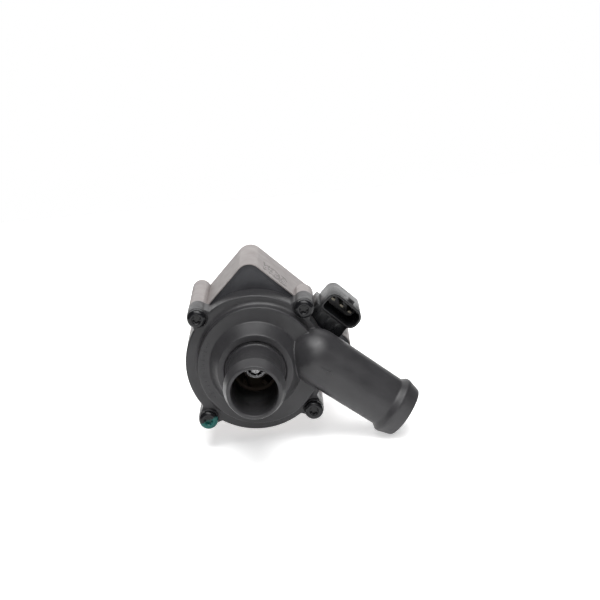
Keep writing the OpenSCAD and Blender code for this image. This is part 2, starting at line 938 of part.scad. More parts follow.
module connector_body() {
    color("#101114")
        pose()
            difference() {
                union() {
                    translate([0, 0, seam_z - shroud_depth])
                        linear_extrude(shroud_depth)
                            shroud_outline(0);
                    translate([base_low, -(base_start + base_w), seam_z - base_depth])
                        cube([shroud_low + 1 - base_low, base_w, base_depth - 0.8]);
                    translate([shroud_low + shroud_h - 0.2, -latch_at - latch_w / 2,
                        seam_z - latch_len - latch_back])
                        cube([latch_h + 0.2, latch_w, latch_len]);
                }
                translate([0, 0, shroud_floor_z])
                    linear_extrude(seam_z - shroud_floor_z + cut)
                        shroud_outline(shroud_wall);
                connector_leads(fit_gap);
            }
}

// Bent contacts: blade in the shroud, riser in the floor, side step, run along the block and tail
module connector_leads(gap) {
    for (i = [0:pin_count - 1]) {
        blade_y = -(pin_first + pin_pitch * i);
        lead_y = -(lead_first + lead_pitch * i);
        step_x = connector_flat - 2.4 + 1.6 * (pin_count - 1 - i);
        thick = pin_t + 2 * gap;
        translate([shroud_mid - thick / 2, blade_y - pin_w / 2 - gap, lead_riser_z - thick / 2])
            cube([thick, pin_w + 2 * gap, seam_z - pin_recess - lead_riser_z + thick / 2]);
        translate([step_x - thick / 2, blade_y - thick / 2, lead_riser_z - thick / 2])
            cube([shroud_mid - step_x + thick, thick, thick]);
        translate([step_x - thick / 2, min(blade_y, lead_y) - thick / 2, lead_riser_z - thick / 2])
            cube([thick, abs(blade_y - lead_y) + thick, thick]);
        translate([lead_x - thick / 2, lead_y - thick / 2, lead_riser_z - thick / 2])
            cube([step_x - lead_x + thick, thick, thick]);
        translate([lead_x - thick / 2, lead_y - thick / 2, lead_turn_z - thick / 2])
            cube([thick, thick, lead_riser_z - lead_turn_z + thick]);
        translate([lead_tail_x - thick / 2, lead_y - thick / 2, lead_turn_z - thick / 2])
            cube([lead_x - lead_tail_x + thick, thick, thick]);
        translate([lead_tail_x - thick / 2, lead_y - thick / 2, lead_tail_z])
            cube([thick, thick, lead_turn_z - lead_tail_z + thick / 2]);
    }
}

module connector_pins() {
    color("#c2b280")
        pose()
            connector_leads(0);
}

volute_cover();
cover_screws();
cover_seal();
carrier_plate();
can_seal();
separation_can();
shaft();
shaft_retainer();
thrust_washer();
impeller();
front_bush();
rear_bush();
rotor_sleeve();
rotor_magnet();
rotor_jacket();
stator_core();
stator_insulators();
stator_coils();
phase_leads();
motor_housing();
circuit_board();
capacitors();
choke();
power_transistors();
control_chip();
thermal_pad();
rear_cover();
rear_seal();
rear_screws();
connector_body();
connector_pins();
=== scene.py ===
"""Looks of an electric auxiliary coolant pump: a moulded head on an aluminium motor housing."""

import logging
import math
from dataclasses import dataclass, field
from enum import Enum
from typing import Sequence

import bpy
from mathutils import Matrix, Vector


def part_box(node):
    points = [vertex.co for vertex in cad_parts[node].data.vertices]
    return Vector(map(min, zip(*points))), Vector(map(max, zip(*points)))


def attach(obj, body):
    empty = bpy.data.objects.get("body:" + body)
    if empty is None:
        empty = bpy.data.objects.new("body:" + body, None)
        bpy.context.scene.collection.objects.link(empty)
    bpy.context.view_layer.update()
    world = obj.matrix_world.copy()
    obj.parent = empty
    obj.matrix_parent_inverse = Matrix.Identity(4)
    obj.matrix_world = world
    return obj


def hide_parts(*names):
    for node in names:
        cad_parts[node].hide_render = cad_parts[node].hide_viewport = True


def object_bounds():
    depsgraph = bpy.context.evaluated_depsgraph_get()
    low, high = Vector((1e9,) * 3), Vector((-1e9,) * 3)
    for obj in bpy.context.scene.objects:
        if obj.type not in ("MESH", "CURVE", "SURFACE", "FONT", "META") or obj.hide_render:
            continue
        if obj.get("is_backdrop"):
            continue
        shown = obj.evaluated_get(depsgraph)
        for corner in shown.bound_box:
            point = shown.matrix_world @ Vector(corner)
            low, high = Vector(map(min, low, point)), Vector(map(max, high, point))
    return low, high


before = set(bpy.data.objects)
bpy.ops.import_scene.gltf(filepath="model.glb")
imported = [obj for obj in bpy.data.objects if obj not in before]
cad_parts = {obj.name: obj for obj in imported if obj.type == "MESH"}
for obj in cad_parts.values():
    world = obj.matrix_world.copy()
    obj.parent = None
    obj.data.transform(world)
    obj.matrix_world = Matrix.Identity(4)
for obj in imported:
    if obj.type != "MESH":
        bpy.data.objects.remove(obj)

LOG = logging.getLogger("pump")
MM = 0.001
WELD = 0.001
DOUBLE = 0.002
OVERCUT = 1.0
COAT_ROUGHNESS = 0.08
PATCH_SIZE = 9.0
WEAR_SIZE = 3.5
NOISE_BAND = (0.3, 0.7)
FULL_WAVE = 6.283
HALF_WAVE = 3.1416
WHITE = (1.0, 1.0, 1.0, 1.0)
Point = tuple[float, float]
Colour = tuple[float, float, float]
LUG_ANGLE = 45.0
PUMP_POSE = Matrix.Rotation(math.radians(90), 4, "X") @ Matrix.Rotation(math.radians(LUG_ANGLE), 4,
                                                                        "Z")


class Grain(Enum):
    """Ways in which a surface is roughened."""

    MOULDED = 1
    BLASTED = 2
    TURNED = 3
    WOUND = 4
    STACKED = 5


@dataclass(frozen=True)
class Finish:
    """A surface: its colour, its gloss and its fine grain.

    Attributes:
        name: Name of the material.
        colour: Base colour, linear.
        roughness: Mean roughness.
        metallic: 1 for bare metal.
        grain: How the surface is roughened.
        grain_size: Size of the grain in millimetres.
        depth: Height of the grain in millimetres.
        mottle: Share by which the colour wanders.
        coat: Clear coat on top, from 0 to 1.
        sheen_spread: How far the roughness wanders.
        shine: Strength of the mirror-like reflection, 0.5 for common plastic.
    """

    name: str
    colour: Colour
    roughness: float = 0.5
    metallic: float = 0.0
    grain: Grain = Grain.MOULDED
    grain_size: float = 0.25
    depth: float = 0.02
    mottle: float = 0.12
    coat: float = 0.0
    sheen_spread: float = 0.08
    shine: float = 0.5

    def build(self) -> bpy.types.Material:
        """Makes the material, once.

        Returns:
            The finished node material.
        """
        label = f"{self.name}_finish"
        made = bpy.data.materials.get(label)
        if made:
            return made
        board = NodeBoard(label)
        shader = board.shader
        shader.inputs["Metallic"].default_value = self.metallic
        shader.inputs["Specular IOR Level"].default_value = self.shine
        shader.inputs["Coat Weight"].default_value = self.coat
        shader.inputs["Coat Roughness"].default_value = COAT_ROUGHNESS
        patches = board.noise(1 / (PATCH_SIZE * MM), 4)
        board.link(board.tint(patches, self.colour, self.mottle), shader.inputs["Base Color"])
        wear = board.noise(1 / (WEAR_SIZE * MM), 3)
        wander = board.spread(wear, self.roughness, self.sheen_spread)
        board.link(wander, shader.inputs["Roughness"])
        board.bump(self.relief(board), self.depth * MM)
        self.extras(board)
        return board.material

    def relief(self, board: "NodeBoard") -> bpy.types.NodeSocket:
        """Draws the height of the grain.

        Args:
            board: The material being made.

        Returns:
            The height from 0 to 1.
        """
        scale = 1 / (self.grain_size * MM)
        if self.grain is Grain.TURNED:
            return board.rings(scale)
        if self.grain is Grain.WOUND:
            return board.bands(scale, "X")
        if self.grain is Grain.STACKED:
            return board.bands(scale, "Y")
        return board.noise(scale, 3 if self.grain is Grain.MOULDED else 6)

    def extras(self, board: "NodeBoard") -> None:
        """Adds what only this finish has.

        Args:
            board: The material being made.
        """


class NodeBoard:
    """A material's node tree and the few constructions that the finishes share."""

    def __init__(self, name: str) -> None:
        """Starts a material with a principled shader.

        Args:
            name: Name of the material.
        """
        self.material = bpy.data.materials.new(name)
        self.material.use_nodes = True
        self.tree = self.material.node_tree
        self.shader = self.tree.nodes["Principled BSDF"]
        self.place = self.add("ShaderNodeTexCoord").outputs["Object"]

    def add(self, kind: str, **settings: object) -> bpy.types.Node:
        """Adds a node.

        Args:
            kind: Blender's name of the node.
            **settings: Properties to set on it.

        Returns:
            The node.
        """
        node = self.tree.nodes.new(kind)
        for key, value in settings.items():
            setattr(node, key, value)
        return node

    def link(self, source: bpy.types.NodeSocket, target: bpy.types.NodeSocket) -> None:
        """Joins two sockets."""
        self.tree.links.new(source, target)

    def noise(self, scale: float, detail: float, rough: float = 0.55) -> bpy.types.NodeSocket:
        """Gives a noise over the object's own place.

        Args:
            scale: Cells per metre.
            detail: Number of finer layers.
            rough: Strength of the finer layers.

        Returns:
            The noise from 0 to 1.
        """
        node = self.add("ShaderNodeTexNoise")
        node.inputs["Scale"].default_value = scale
        node.inputs["Detail"].default_value = detail
        node.inputs["Roughness"].default_value = rough
        self.link(self.place, node.inputs["Vector"])
        return node.outputs["Fac"]

    def math(self, operation: str, first: object, second: object = 0.0) -> bpy.types.NodeSocket:
        """Gives the result of an operation on two numbers or sockets.

        Args:
            operation: Blender's name of the operation.
            first: First number or socket.
            second: Second number or socket.

        Returns:
            The result.
        """
        node = self.add("ShaderNodeMath", operation=operation)
        for slot, value in zip(node.inputs, (first, second)):
            if isinstance(value, bpy.types.NodeSocket):
                self.link(value, slot)
            else:
                slot.default_value = value
        return node.outputs["Value"]

    def axes(self) -> tuple[bpy.types.NodeSocket, bpy.types.NodeSocket, bpy.types.NodeSocket]:
        """Splits the object's own place into X, Y and Z."""
        node = self.add("ShaderNodeSeparateXYZ")
        self.link(self.place, node.inputs[0])
        return node.outputs["X"], node.outputs["Y"], node.outputs["Z"]

    def rings(self, scale: float) -> bpy.types.NodeSocket:
        """Gives fine turning marks round the shaft, which lies along Y."""
        x, _, z = self.axes()
        square = self.math("ADD", self.math("MULTIPLY", x, x), self.math("MULTIPLY", z, z))
        wave = self.math("MULTIPLY", self.math("SQRT", square), scale * FULL_WAVE)
        shaken = self.math("ADD", wave, self.noise(scale / 9, 2))
        return self.math("ADD", self.math("MULTIPLY", self.math("SINE", shaken), 0.5), 0.5)

    def bands(self, scale: float, axis: str) -> bpy.types.NodeSocket:
        """Gives even bands along one of the object's own axes.

        Args:
            scale: Bands per metre.
            axis: Letter of the axis.

        Returns:
            The height from 0 to 1.
        """
        along = self.axes()["XYZ".index(axis)]
        return self.math("ABSOLUTE",
                         self.math("SINE", self.math("MULTIPLY", along, scale * HALF_WAVE)))

    def spread(self, source: bpy.types.NodeSocket, middle: float,
               width: float) -> bpy.types.NodeSocket:
        """Maps a noise to a band round a middle value.

        Args:
            source: A noise from 0 to 1.
            middle: Middle of the band.
            width: Half of its width.

        Returns:
            The mapped value.
        """
        node = self.add("ShaderNodeMapRange")
        node.inputs["From Min"].default_value, node.inputs["From Max"].default_value = NOISE_BAND
        node.inputs["To Min"].default_value = max(0.02, middle - width)
        node.inputs["To Max"].default_value = min(1.0, middle + width)
        self.link(source, node.inputs["Value"])
        return node.outputs["Result"]

    def tint(self, source: bpy.types.NodeSocket, colour: Colour,
             share: float) -> bpy.types.NodeSocket:
        """Lets a colour wander a little.

        Args:
            source: A noise from 0 to 1.
            colour: The middle colour.
            share: Share by which it darkens and lightens.

        Returns:
            The colour.
        """
        ramp = self.add("ShaderNodeValToRGB")
        low, high = ramp.color_ramp.elements
        low.position, high.position = NOISE_BAND
        low.color = [c * (1 - share) for c in colour] + [1.0]
        high.color = [min(1.0, c * (1 + share)) for c in colour] + [1.0]
        self.link(source, ramp.inputs["Fac"])
        return ramp.outputs["Color"]

    def mix(self, share: bpy.types.NodeSocket, first: object,
            second: object) -> bpy.types.NodeSocket:
        """Blends two colours.

        Args:
            share: 0 for the first colour and 1 for the second.
            first: A colour or a socket.
            second: A colour or a socket.

        Returns:
            The blended colour.
        """
        node = self.add("ShaderNodeMix", data_type="RGBA")
        self.link(share, node.inputs["Factor"])
        a, b = [s for s in node.inputs if s.type == "RGBA"]
        for slot, value in ((a, first), (b, second)):
            if isinstance(value, bpy.types.NodeSocket):
                self.link(value, slot)
            else:
                slot.default_value = (*value, 1.0)
        return [s for s in node.outputs if s.type == "RGBA"][0]

    def bump(self, height: bpy.types.NodeSocket, depth: float) -> None:
        """Puts a height on the shader's normal, over what is there already.

        Args:
            height: The height from 0 to 1.
            depth: Its depth in metres.
        """
        node = self.add("ShaderNodeBump")
        node.inputs["Distance"].default_value = depth
        node.inputs["Strength"].default_value = 1.0
        self.link(height, node.inputs["Height"])
        if self.shader.inputs["Normal"].is_linked:
            self.link(self.shader.inputs["Normal"].links[0].from_socket, node.inputs["Normal"])
        self.link(node.outputs["Normal"], self.shader.inputs["Normal"])


class Bench:
    """The hand tools: each method is a short run of Blender's own operators."""

    @staticmethod
    def clear() -> None:
        """Leaves edit mode and selects nothing."""
        if bpy.context.object and bpy.context.object.mode != "OBJECT":
            bpy.ops.object.mode_set(mode="OBJECT")
        bpy.ops.object.select_all(action="DESELECT")

    @staticmethod
    def pick(piece: bpy.types.Object) -> None:
        """Makes a piece the only selected one."""
        Bench.clear()
        piece.select_set(True)
        bpy.context.view_layer.objects.active = piece

    @staticmethod
    def seed(name: str, spot: Vector) -> bpy.types.Object:
        """Starts a piece with a single vertex, in edit mode.

        Args:
            name: Name of the piece.
            spot: Place of the vertex in metres.

        Returns:
            The new piece.
        """
        Bench.clear()
        bpy.ops.mesh.primitive_plane_add(size=MM)
        piece = bpy.context.object
        piece.name = piece.data.name = name
        bpy.ops.object.mode_set(mode="EDIT")
        bpy.ops.mesh.select_all(action="SELECT")
        bpy.ops.mesh.merge(type="CENTER")
        bpy.ops.transform.translate(value=spot)
        return piece

    @staticmethod
    def draw(name: str, points: Sequence[Vector]) -> bpy.types.Object:
        """Draws an open line, vertex by vertex, and stays in edit mode.

        Args:
            name: Name of the piece.
            points: The line's points in metres.

        Returns:
            The new piece.
        """
        piece = Bench.seed(name, points[0])
        for here, there in zip(points, points[1:]):
            bpy.ops.mesh.extrude_vertices_move(TRANSFORM_OT_translate={"value": there - here})
        return piece

    @staticmethod
    def tidy(piece: bpy.types.Object) -> bpy.types.Object:
        """Merges doubles and turns the faces outwards."""
        Bench.pick(piece)
        bpy.ops.object.mode_set(mode="EDIT")
        bpy.ops.mesh.select_all(action="SELECT")
        bpy.ops.mesh.remove_doubles(threshold=DOUBLE * MM)
        bpy.ops.mesh.normals_make_consistent(inside=False)
        bpy.ops.object.mode_set(mode="OBJECT")
        return piece

    @staticmethod
    def lathe(name: str, profile: Sequence[Point], steps: int = 128) -> bpy.types.Object:
        """Turns a profile round the local Z axis.

        Args:
            name: Name of the piece.
            profile: Radius and height of each point, in millimetres. A profile that starts and
                ends off the axis is closed by its last point being its first.
            steps: Number of steps of the turn.

        Returns:
            The turned piece, in object mode.
        """
        piece = Bench.draw(name, [Vector((r, 0, z)) * MM for r, z in profile])
        bpy.ops.mesh.select_all(action="SELECT")
        bpy.ops.mesh.remove_doubles(threshold=WELD * MM)
        bpy.ops.mesh.select_all(action="SELECT")
        bpy.ops.mesh.spin(steps=steps, angle=math.tau, center=(0, 0, 0), axis=(0, 0, 1))
        return Bench.tidy(piece)

    @staticmethod
    def prism(name: str, outline: Sequence[Point], low: float, high: float) -> bpy.types.Object:
        """Raises a closed outline into a block.

        Args:
            name: Name of the piece.
            outline: Points of the outline in millimetres.
            low: Height of the bottom in millimetres.
            high: Height of the top in millimetres.

        Returns:
            The block, in object mode.
        """
        piece = Bench.draw(name, [Vector((x, y, low)) * MM for x, y in (*outline, outline[0])])
        bpy.ops.mesh.select_all(action="SELECT")
        bpy.ops.mesh.remove_doubles(threshold=WELD * MM)
        bpy.ops.mesh.select_all(action="SELECT")
        bpy.ops.mesh.edge_face_add()
        bpy.ops.mesh.extrude_region_move(TRANSFORM_OT_translate={"value": (0, 0,
                                                                           (high - low) * MM)})
        return Bench.tidy(piece)

    @staticmethod
    def brick(name: str, x: Point, y: Point, z: Point) -> bpy.types.Object:
        """Makes a block between two corners.

        Args:
            name: Name of the piece.
            x: Range along X in millimetres.
            y: Range along Y in millimetres.
            z: Range along Z in millimetres.

        Returns:
            The block, in object mode.
        """
        return Bench.prism(name, [(x[0], y[0]), (x[1], y[0]), (x[1], y[1]), (x[0], y[1])], *z)

    @staticmethod
    def rod(name: str, r: float, low: float, high: float, steps: int) -> bpy.types.Object:
        """Turns a plain cylinder about the local Z axis, in millimetres."""
        return Bench.lathe(name, [(0, low), (r, low), (r, high), (0, high)], steps)

    @staticmethod
    def apply(piece: bpy.types.Object, kind: str, **settings: object) -> bpy.types.Object:
        """Adds a modifier and applies it.

        Args:
            piece: The piece to work on.
            kind: Blender's name of the modifier.
            **settings: Properties of the modifier.

        Returns:
            The same piece.
        """
        Bench.pick(piece)
        step = piece.modifiers.new(kind.title(), kind)
        for key, value in settings.items():
            setattr(step, key, value)
        bpy.ops.object.modifier_apply(modifier=step.name)
        return piece

    @staticmethod
    def combine(piece: bpy.types.Object, tool: bpy.types.Object,
                how: str = "UNION") -> bpy.types.Object:
        """Adds another piece to this one, or cuts it away, and throws the other away.

        Args:
            piece: The piece to work on.
            tool: The piece that is added or cut away.
            how: UNION or DIFFERENCE.

        Returns:
            The same piece.
        """
        Bench.apply(piece, "BOOLEAN", operation=how, object=tool, solver="EXACT")
        bpy.data.objects.remove(tool, do_unlink=True)
        return piece

    @staticmethod
    def cut(piece: bpy.types.Object, *tools: bpy.types.Object) -> bpy.types.Object:
        """Cuts other pieces away from this one and throws them away."""
        for tool in tools:
            Bench.combine(piece, tool, "DIFFERENCE")
        return piece

    @staticmethod
    def move(piece: bpy.types.Object, matrix: Matrix) -> bpy.types.Object:
        """Puts a piece at a place and writes the place into its mesh."""
        Bench.pick(piece)
        piece.matrix_world = matrix @ piece.matrix_world
        bpy.ops.object.transform_apply(location=True, rotation=True, scale=True)
        return piece

    @staticmethod
    def swing(piece: bpy.types.Object, reach: float, turn: float = 0.0) -> bpy.types.Object:
        """Moves a piece out from the shaft in millimetres and round it in degrees."""
        turned = Matrix.Rotation(math.radians(turn), 4, "Z")
        return Bench.move(piece, turned @ Matrix.Translation((reach * MM, 0, 0)))

    @staticmethod
    def copy(piece: bpy.types.Object, matrix: Matrix) -> bpy.types.Object:
        """Copies a piece with a mesh of its own and moves the copy."""
        twin = piece.copy()
        twin.data = piece.data.copy()
        bpy.context.collection.objects.link(twin)
        return Bench.move(twin, matrix)

    @staticmethod
    def join(pieces: Sequence[bpy.types.Object], name: str) -> bpy.types.Object:
        """Makes several pieces one object."""
        Bench.pick(pieces[0])
        for piece in pieces[1:]:
            piece.select_set(True)
        if len(pieces) > 1:
            bpy.ops.object.join()
        pieces[0].name = pieces[0].data.name = name
        return pieces[0]

    @staticmethod
    def bevel(piece: bpy.types.Object, width: float, segments: int = 2,
              angle: float = 32) -> bpy.types.Object:
        """Rounds the sharp edges.

        Args:
            piece: The piece to work on.
            width: Width of the rounding in millimetres.
            segments: Number of steps across it.
            angle: Edges sharper than this, in degrees, are rounded.

        Returns:
            The same piece.
        """
        return Bench.apply(piece, "BEVEL", width=width * MM, segments=segments,
                           limit_method="ANGLE",
                           angle_limit=math.radians(angle), harden_normals=False,
                           miter_outer="MITER_ARC")

    @staticmethod
    def smooth(piece: bpy.types.Object, angle: float = 32) -> bpy.types.Object:
        """Shades a piece smoothly where its faces meet at less than an angle in degrees."""
        Bench.pick(piece)
        bpy.ops.object.shade_smooth_by_angle(angle=math.radians(angle))
        return piece

    @staticmethod
    def dress(piece: bpy.types.Object, finish: Finish) -> bpy.types.Object:
        """Gives a piece one finish all over."""
        piece.data.materials.clear()
        piece.data.materials.append(finish.build())
        return piece


def arc(x: float, y: float, r: float, start: float, stop: float, steps: int = 8) -> list[Point]:
    """Points of an arc.

    Args:
        x: Centre, first coordinate.
        y: Centre, second coordinate.
        r: Radius.
        start: First angle in degrees.
        stop: Last angle in degrees.
        steps: Number of steps.

    Returns:
        The points from the first angle to the last.
    """
    turns = [math.radians(start + (stop - start) * i / steps) for i in range(steps + 1)]
    return [(x + r * math.cos(t), y + r * math.sin(t)) for t in turns]


def span(node: str) -> tuple[Vector, Vector]:
    """Lowest and highest corner of a CAD node, in millimetres."""
    low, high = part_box(node)
    return Vector(low) / MM, Vector(high) / MM


def settle(piece: bpy.types.Object, body: str, slot: str, *nodes: str) -> bpy.types.Object:
    """Hands a finished piece to the frame.

    Args:
        piece: The finished piece.
        body: The body that it moves with.
        slot: Not used.
        *nodes: CAD nodes that it stands for.

    Returns:
        The same piece.
    """
    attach(piece, body)
    if nodes:
        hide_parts(*nodes)
    LOG.info("%s: %d faces on %s", piece.name, len(piece.data.polygons), body)
    return piece


@dataclass(frozen=True)
class Stack:
    """Heights along the shaft in millimetres, counted from the motor's rear face."""

    cover_t: float = field(default_factory=lambda: -span("motor_housing")[1].y)
    block: float = 14.0
    seam: float = field(default_factory=lambda: -span("carrier_plate")[0].y)
    mouth: float = field(default_factory=lambda: -span("volute_cover")[0].y)


STACK = Stack()


@dataclass(frozen=True)
class HeadPlastic(Finish):
    """Glass-filled moulding plastic: a fine grain over the slow waves of its skin."""

    name: str = "head_plastic"
    colour: Colour = (0.026, 0.0254, 0.0272)
    roughness: float = 0.4
    grain_size: float = 0.22
    depth: float = 0.012
    mottle: float = 0.12
    shine: float = 0.36

    def extras(self, board: NodeBoard) -> None:
        """Adds the slow waves of a moulded skin."""
        board.bump(board.noise(1 / (2.4 * MM), 3), 0.02 * MM)
        board.bump(board.noise(1 / (7 * MM), 1), 0.05 * MM)


@dataclass(frozen=True)
class PaleAluminium(Finish):
    """Fine-blasted aluminium with a laser-marked field of plain dashes on its upper flat."""

    name: str = "cast_aluminium"
    colour: Colour = (0.30, 0.274, 0.268)
    roughness: float = 0.5
    metallic: float = 0.6
    grain: Grain = Grain.BLASTED
    grain_size: float = 0.16
    depth: float = 0.014
    mottle: float = 0.08
    flat: float = 28.2
    field_along: tuple[float, float] = (7.5, 19.5)
    field_back: tuple[float, float] = (-42.5, -30.5)
    dash: float = 0.62
    row: float = 1.5
    row_share: float = 0.55
    gap_share: float = 0.45
    skin: float = 0.2
    scorch: float = 0.1
    ink: float = 0.85

    def extras(self, board: NodeBoard) -> None:
        """Adds a finer blast grain and the laser-marked field."""
        board.bump(board.noise(1 / (1.1 * MM), 2), 0.02 * MM)
        slot = board.shader.inputs["Base Color"]
        bare = slot.links[0].from_socket
        dark = tuple(c * self.scorch for c in self.colour)
        board.link(board.mix(self.marks(board), bare, dark), slot)

    def marks(self, board: NodeBoard) -> bpy.types.NodeSocket:
        """Draws rows of plain dashes of chance lengths on the upper flat next to the first lug.

        Args:
            board: The material being made.

        Returns:
            0 for bare metal and up to the ink's strength for a mark.
        """
        x, y, z = board.axes()
        half = math.sqrt(0.5)
        face = board.math("MULTIPLY", board.math("ADD", x, z), half)
        along = board.math("MULTIPLY", board.math("SUBTRACT", z, x), half)
        share = board.math("GREATER_THAN", face, (self.flat - self.skin) * MM)
        for place, (low, high) in ((along, self.field_along), (y, self.field_back)):
            share = board.math("MULTIPLY", share, board.math("GREATER_THAN", place, low * MM))
            share = board.math("MULTIPLY", share, board.math("LESS_THAN", place, high * MM))
        rows = board.math("DIVIDE", y, self.row * MM)
        cells = board.math("DIVIDE", along, self.dash * MM)
        lined = board.math("LESS_THAN", board.math("FRACT", rows), self.row_share)
        cell = board.add("ShaderNodeCombineXYZ")
        board.link(board.math("FLOOR", cells), cell.inputs["X"])
        board.link(board.math("FLOOR", rows), cell.inputs["Y"])
        chance = board.add("ShaderNodeTexWhiteNoise", noise_dimensions="2D")
        board.link(cell.outputs["Vector"], chance.inputs["Vector"])
        dashed = board.math("GREATER_THAN", chance.outputs["Value"], self.gap_share)
        drawn = board.math("MULTIPLY", lined, dashed)
        return board.math("MULTIPLY", board.math("MULTIPLY", share, drawn), self.ink)


@dataclass(frozen=True)
class LinedPlastic(HeadPlastic):
    """Glossier black plastic with the fine lines of its mould along the shroud."""

    shine: float = 0.5
    line: float = 0.9
    line_depth: float = 0.022

    def extras(self, board: NodeBoard) -> None:
        """Adds lines parallel to the mouth."""
        board.bump(board.bands(1 / (self.line * MM), "Y"), self.line_depth * MM)
        board.bump(board.noise(1 / (5 * MM), 1), 0.02 * MM)


@dataclass(frozen=True)
class PaintDab(Finish):
    """Black screw with an inspector's dab of blue-green paint over its lower part."""

    name: str = "screw_black_dabbed"
    colour: Colour = (0.007, 0.007, 0.008)
    roughness: float = 0.2
    grain: Grain = Grain.MOULDED
    grain_size: float = 0.4
    depth: float = 0.004
    shine: float = 0.25
    paint: Colour = (0.004, 0.075, 0.066)
    ripple: float = 1.6
    wave: float = 2.4
    lean: float = 0.35
    shift: float = 0.4
    sharpness: float = 1600.0
    middle: tuple[float, float] = (0.0, 0.0)

    def extras(self, board: NodeBoard) -> None:
        """Lays the paint over the part of the head that lies below a wavy line."""
        x, _, z = board.axes()
        ripple = board.math("SUBTRACT", board.noise(1 / (self.ripple * MM), 2), 0.5)
        wave = board.math("MULTIPLY", ripple, self.wave * MM)
        drop = board.math("ADD", board.math("SUBTRACT", self.middle[1] * MM, z), wave)
        lean = board.math("MULTIPLY", board.math("SUBTRACT", x, self.middle[0] * MM), self.lean)
        level = board.math("ADD", board.math("ADD", drop, lean), self.shift * MM)
        cover = board.math("MULTIPLY", level, self.sharpness)
        node = board.add("ShaderNodeClamp")
        board.link(cover, node.inputs["Value"])
        share = node.outputs["Result"]
        slot = board.shader.inputs["Base Color"]
        bare = slot.links[0].from_socket
        board.link(board.mix(share, bare, self.paint), slot)


class Palette:
    """The pump's finishes."""

    HEAD = HeadPlastic()
    PLATE = HeadPlastic(name="plate_plastic", colour=(0.034, 0.0343, 0.038), roughness=0.46,
                        depth=0.008)
    CONNECTOR = LinedPlastic(name="connector_plastic", colour=(0.005, 0.0052, 0.006),
                             roughness=0.32,
                             grain_size=0.4, depth=0.004)
    ALUMINIUM = PaleAluminium()
    TURNED = Finish("turned_aluminium", (0.36, 0.335, 0.33), 0.36, 0.85, Grain.TURNED, 0.35, 0.004,
                    0.05)
    SCREW = Finish("screw_black", (0.007, 0.007, 0.008), 0.2, grain_size=0.4, depth=0.004,
                   coat=0.1, shine=0.22)
    DABBED = PaintDab()
    STEEL = Finish("stainless", (0.56, 0.56, 0.57), 0.3, 1.0, Grain.TURNED, 0.2, 0.002, 0.05)
    SPRING = Finish("spring_steel", (0.72, 0.72, 0.73), 0.2, 1.0, Grain.BLASTED, 0.3, 0.006, 0.06)
    RUBBER = Finish("seal_rubber", (0.016, 0.016, 0.017), 0.6, 0.0, Grain.MOULDED, 0.3, 0.008, 0.1)
    COPPER = Finish("winding_copper", (0.56, 0.2, 0.08), 0.3, 0.9, Grain.WOUND, 0.45, 0.12, 0.12)
    MAGNET = Finish("magnet_ferrite", (0.055, 0.055, 0.06), 0.55, 0.3, Grain.BLASTED, 0.3, 0.02,
                    0.15)
    CARBON = Finish("carbon", (0.03, 0.03, 0.033), 0.4, 0.2, Grain.TURNED, 0.3, 0.003, 0.15)
    IMPELLER = HeadPlastic(name="impeller_plastic", colour=(0.10, 0.078, 0.06), roughness=0.42)
    LAMINATION = Finish("lamination_steel", (0.30, 0.31, 0.33), 0.42, 0.9, Grain.STACKED, 0.5,
                        0.05, 0.08)
    NYLON = Finish("insulator_plastic", (0.66, 0.62, 0.52), 0.45, 0.0, Grain.MOULDED, 0.3, 0.01,
                   0.06)
    BOARD = Finish("board_green", (0.012, 0.11, 0.05), 0.32, 0.0, Grain.BLASTED, 0.5, 0.012, 0.25,
                   0.3)
    EPOXY = Finish("component_black", (0.018, 0.018, 0.02), 0.5, 0.0, Grain.MOULDED, 0.15, 0.012,
                   0.15)
    CAN = Finish("can_aluminium", (0.6, 0.6, 0.61), 0.28, 1.0, Grain.BLASTED, 0.2, 0.004, 0.05)
    PAD = Finish("thermal_rubber", (0.25, 0.38, 0.5), 0.7, 0.0, Grain.MOULDED, 0.25, 0.02, 0.08)
    TIN = Finish("contact_tin", (0.2, 0.185, 0.15), 0.42, 1.0, Grain.BLASTED, 0.25, 0.01, 0.12)
    SEPARATOR = HeadPlastic(name="separator_plastic", colour=(0.06, 0.062, 0.066), roughness=0.4)


@dataclass
class Spigot:
    """The hose end of a tube: a bead with a short land and a slightly rounded mouth."""

    tube_r: float = 10.15
    bore_r: float = 8.6
    bead_r: float = 11.65
    end_r: float = 10.3
    setback: float = 5.2
    land: float = 0.8
    ramp: float = 2.0
    lip_w: float = 0.4
    lip_h: float = 1.1
    edge: float = 0.5

    def outside(self, end: float) -> list[Point]:
        """Profile from the tube over the bead to the mouth's rounded inner edge.

        Args:
            end: Height of the mouth.

        Returns:
            Points of radius and height.
        """
        front = end - self.setback
        back = front - self.land
        return [
            (self.tube_r, back - self.ramp - 0.3),
            (self.tube_r + 0.12, back - self.ramp + 0.15),
            (self.bead_r - 0.25, back - 0.35),
            (self.bead_r, back),
            (self.bead_r, front),
            (self.bead_r - 0.12, front + 0.45),
            *arc(self.end_r - self.edge, end - self.edge, self.edge, 12, 80, 5),
            (self.bore_r + self.lip_w, end),
            self.lip(end),
        ]

    def lip(self, end: float) -> Point:
        """Middle of the mouth's inner edge, for a mouth at a height."""
        return self.bore_r + self.lip_w * 0.35, end - self.lip_h * 0.45

    def inside(self, end: float) -> list[Point]:
        """Profile of a cutter from the bore out through the mouth.

        Args:
            end: Height of the mouth.

        Returns:
            Points of radius and height.
        """
        rim, out = self.bore_r + self.lip_w, end + OVERCUT
        return [(self.bore_r, end - self.lip_h), self.lip(end), (rim, end + 0.01), (rim, out),
                (0, out)]


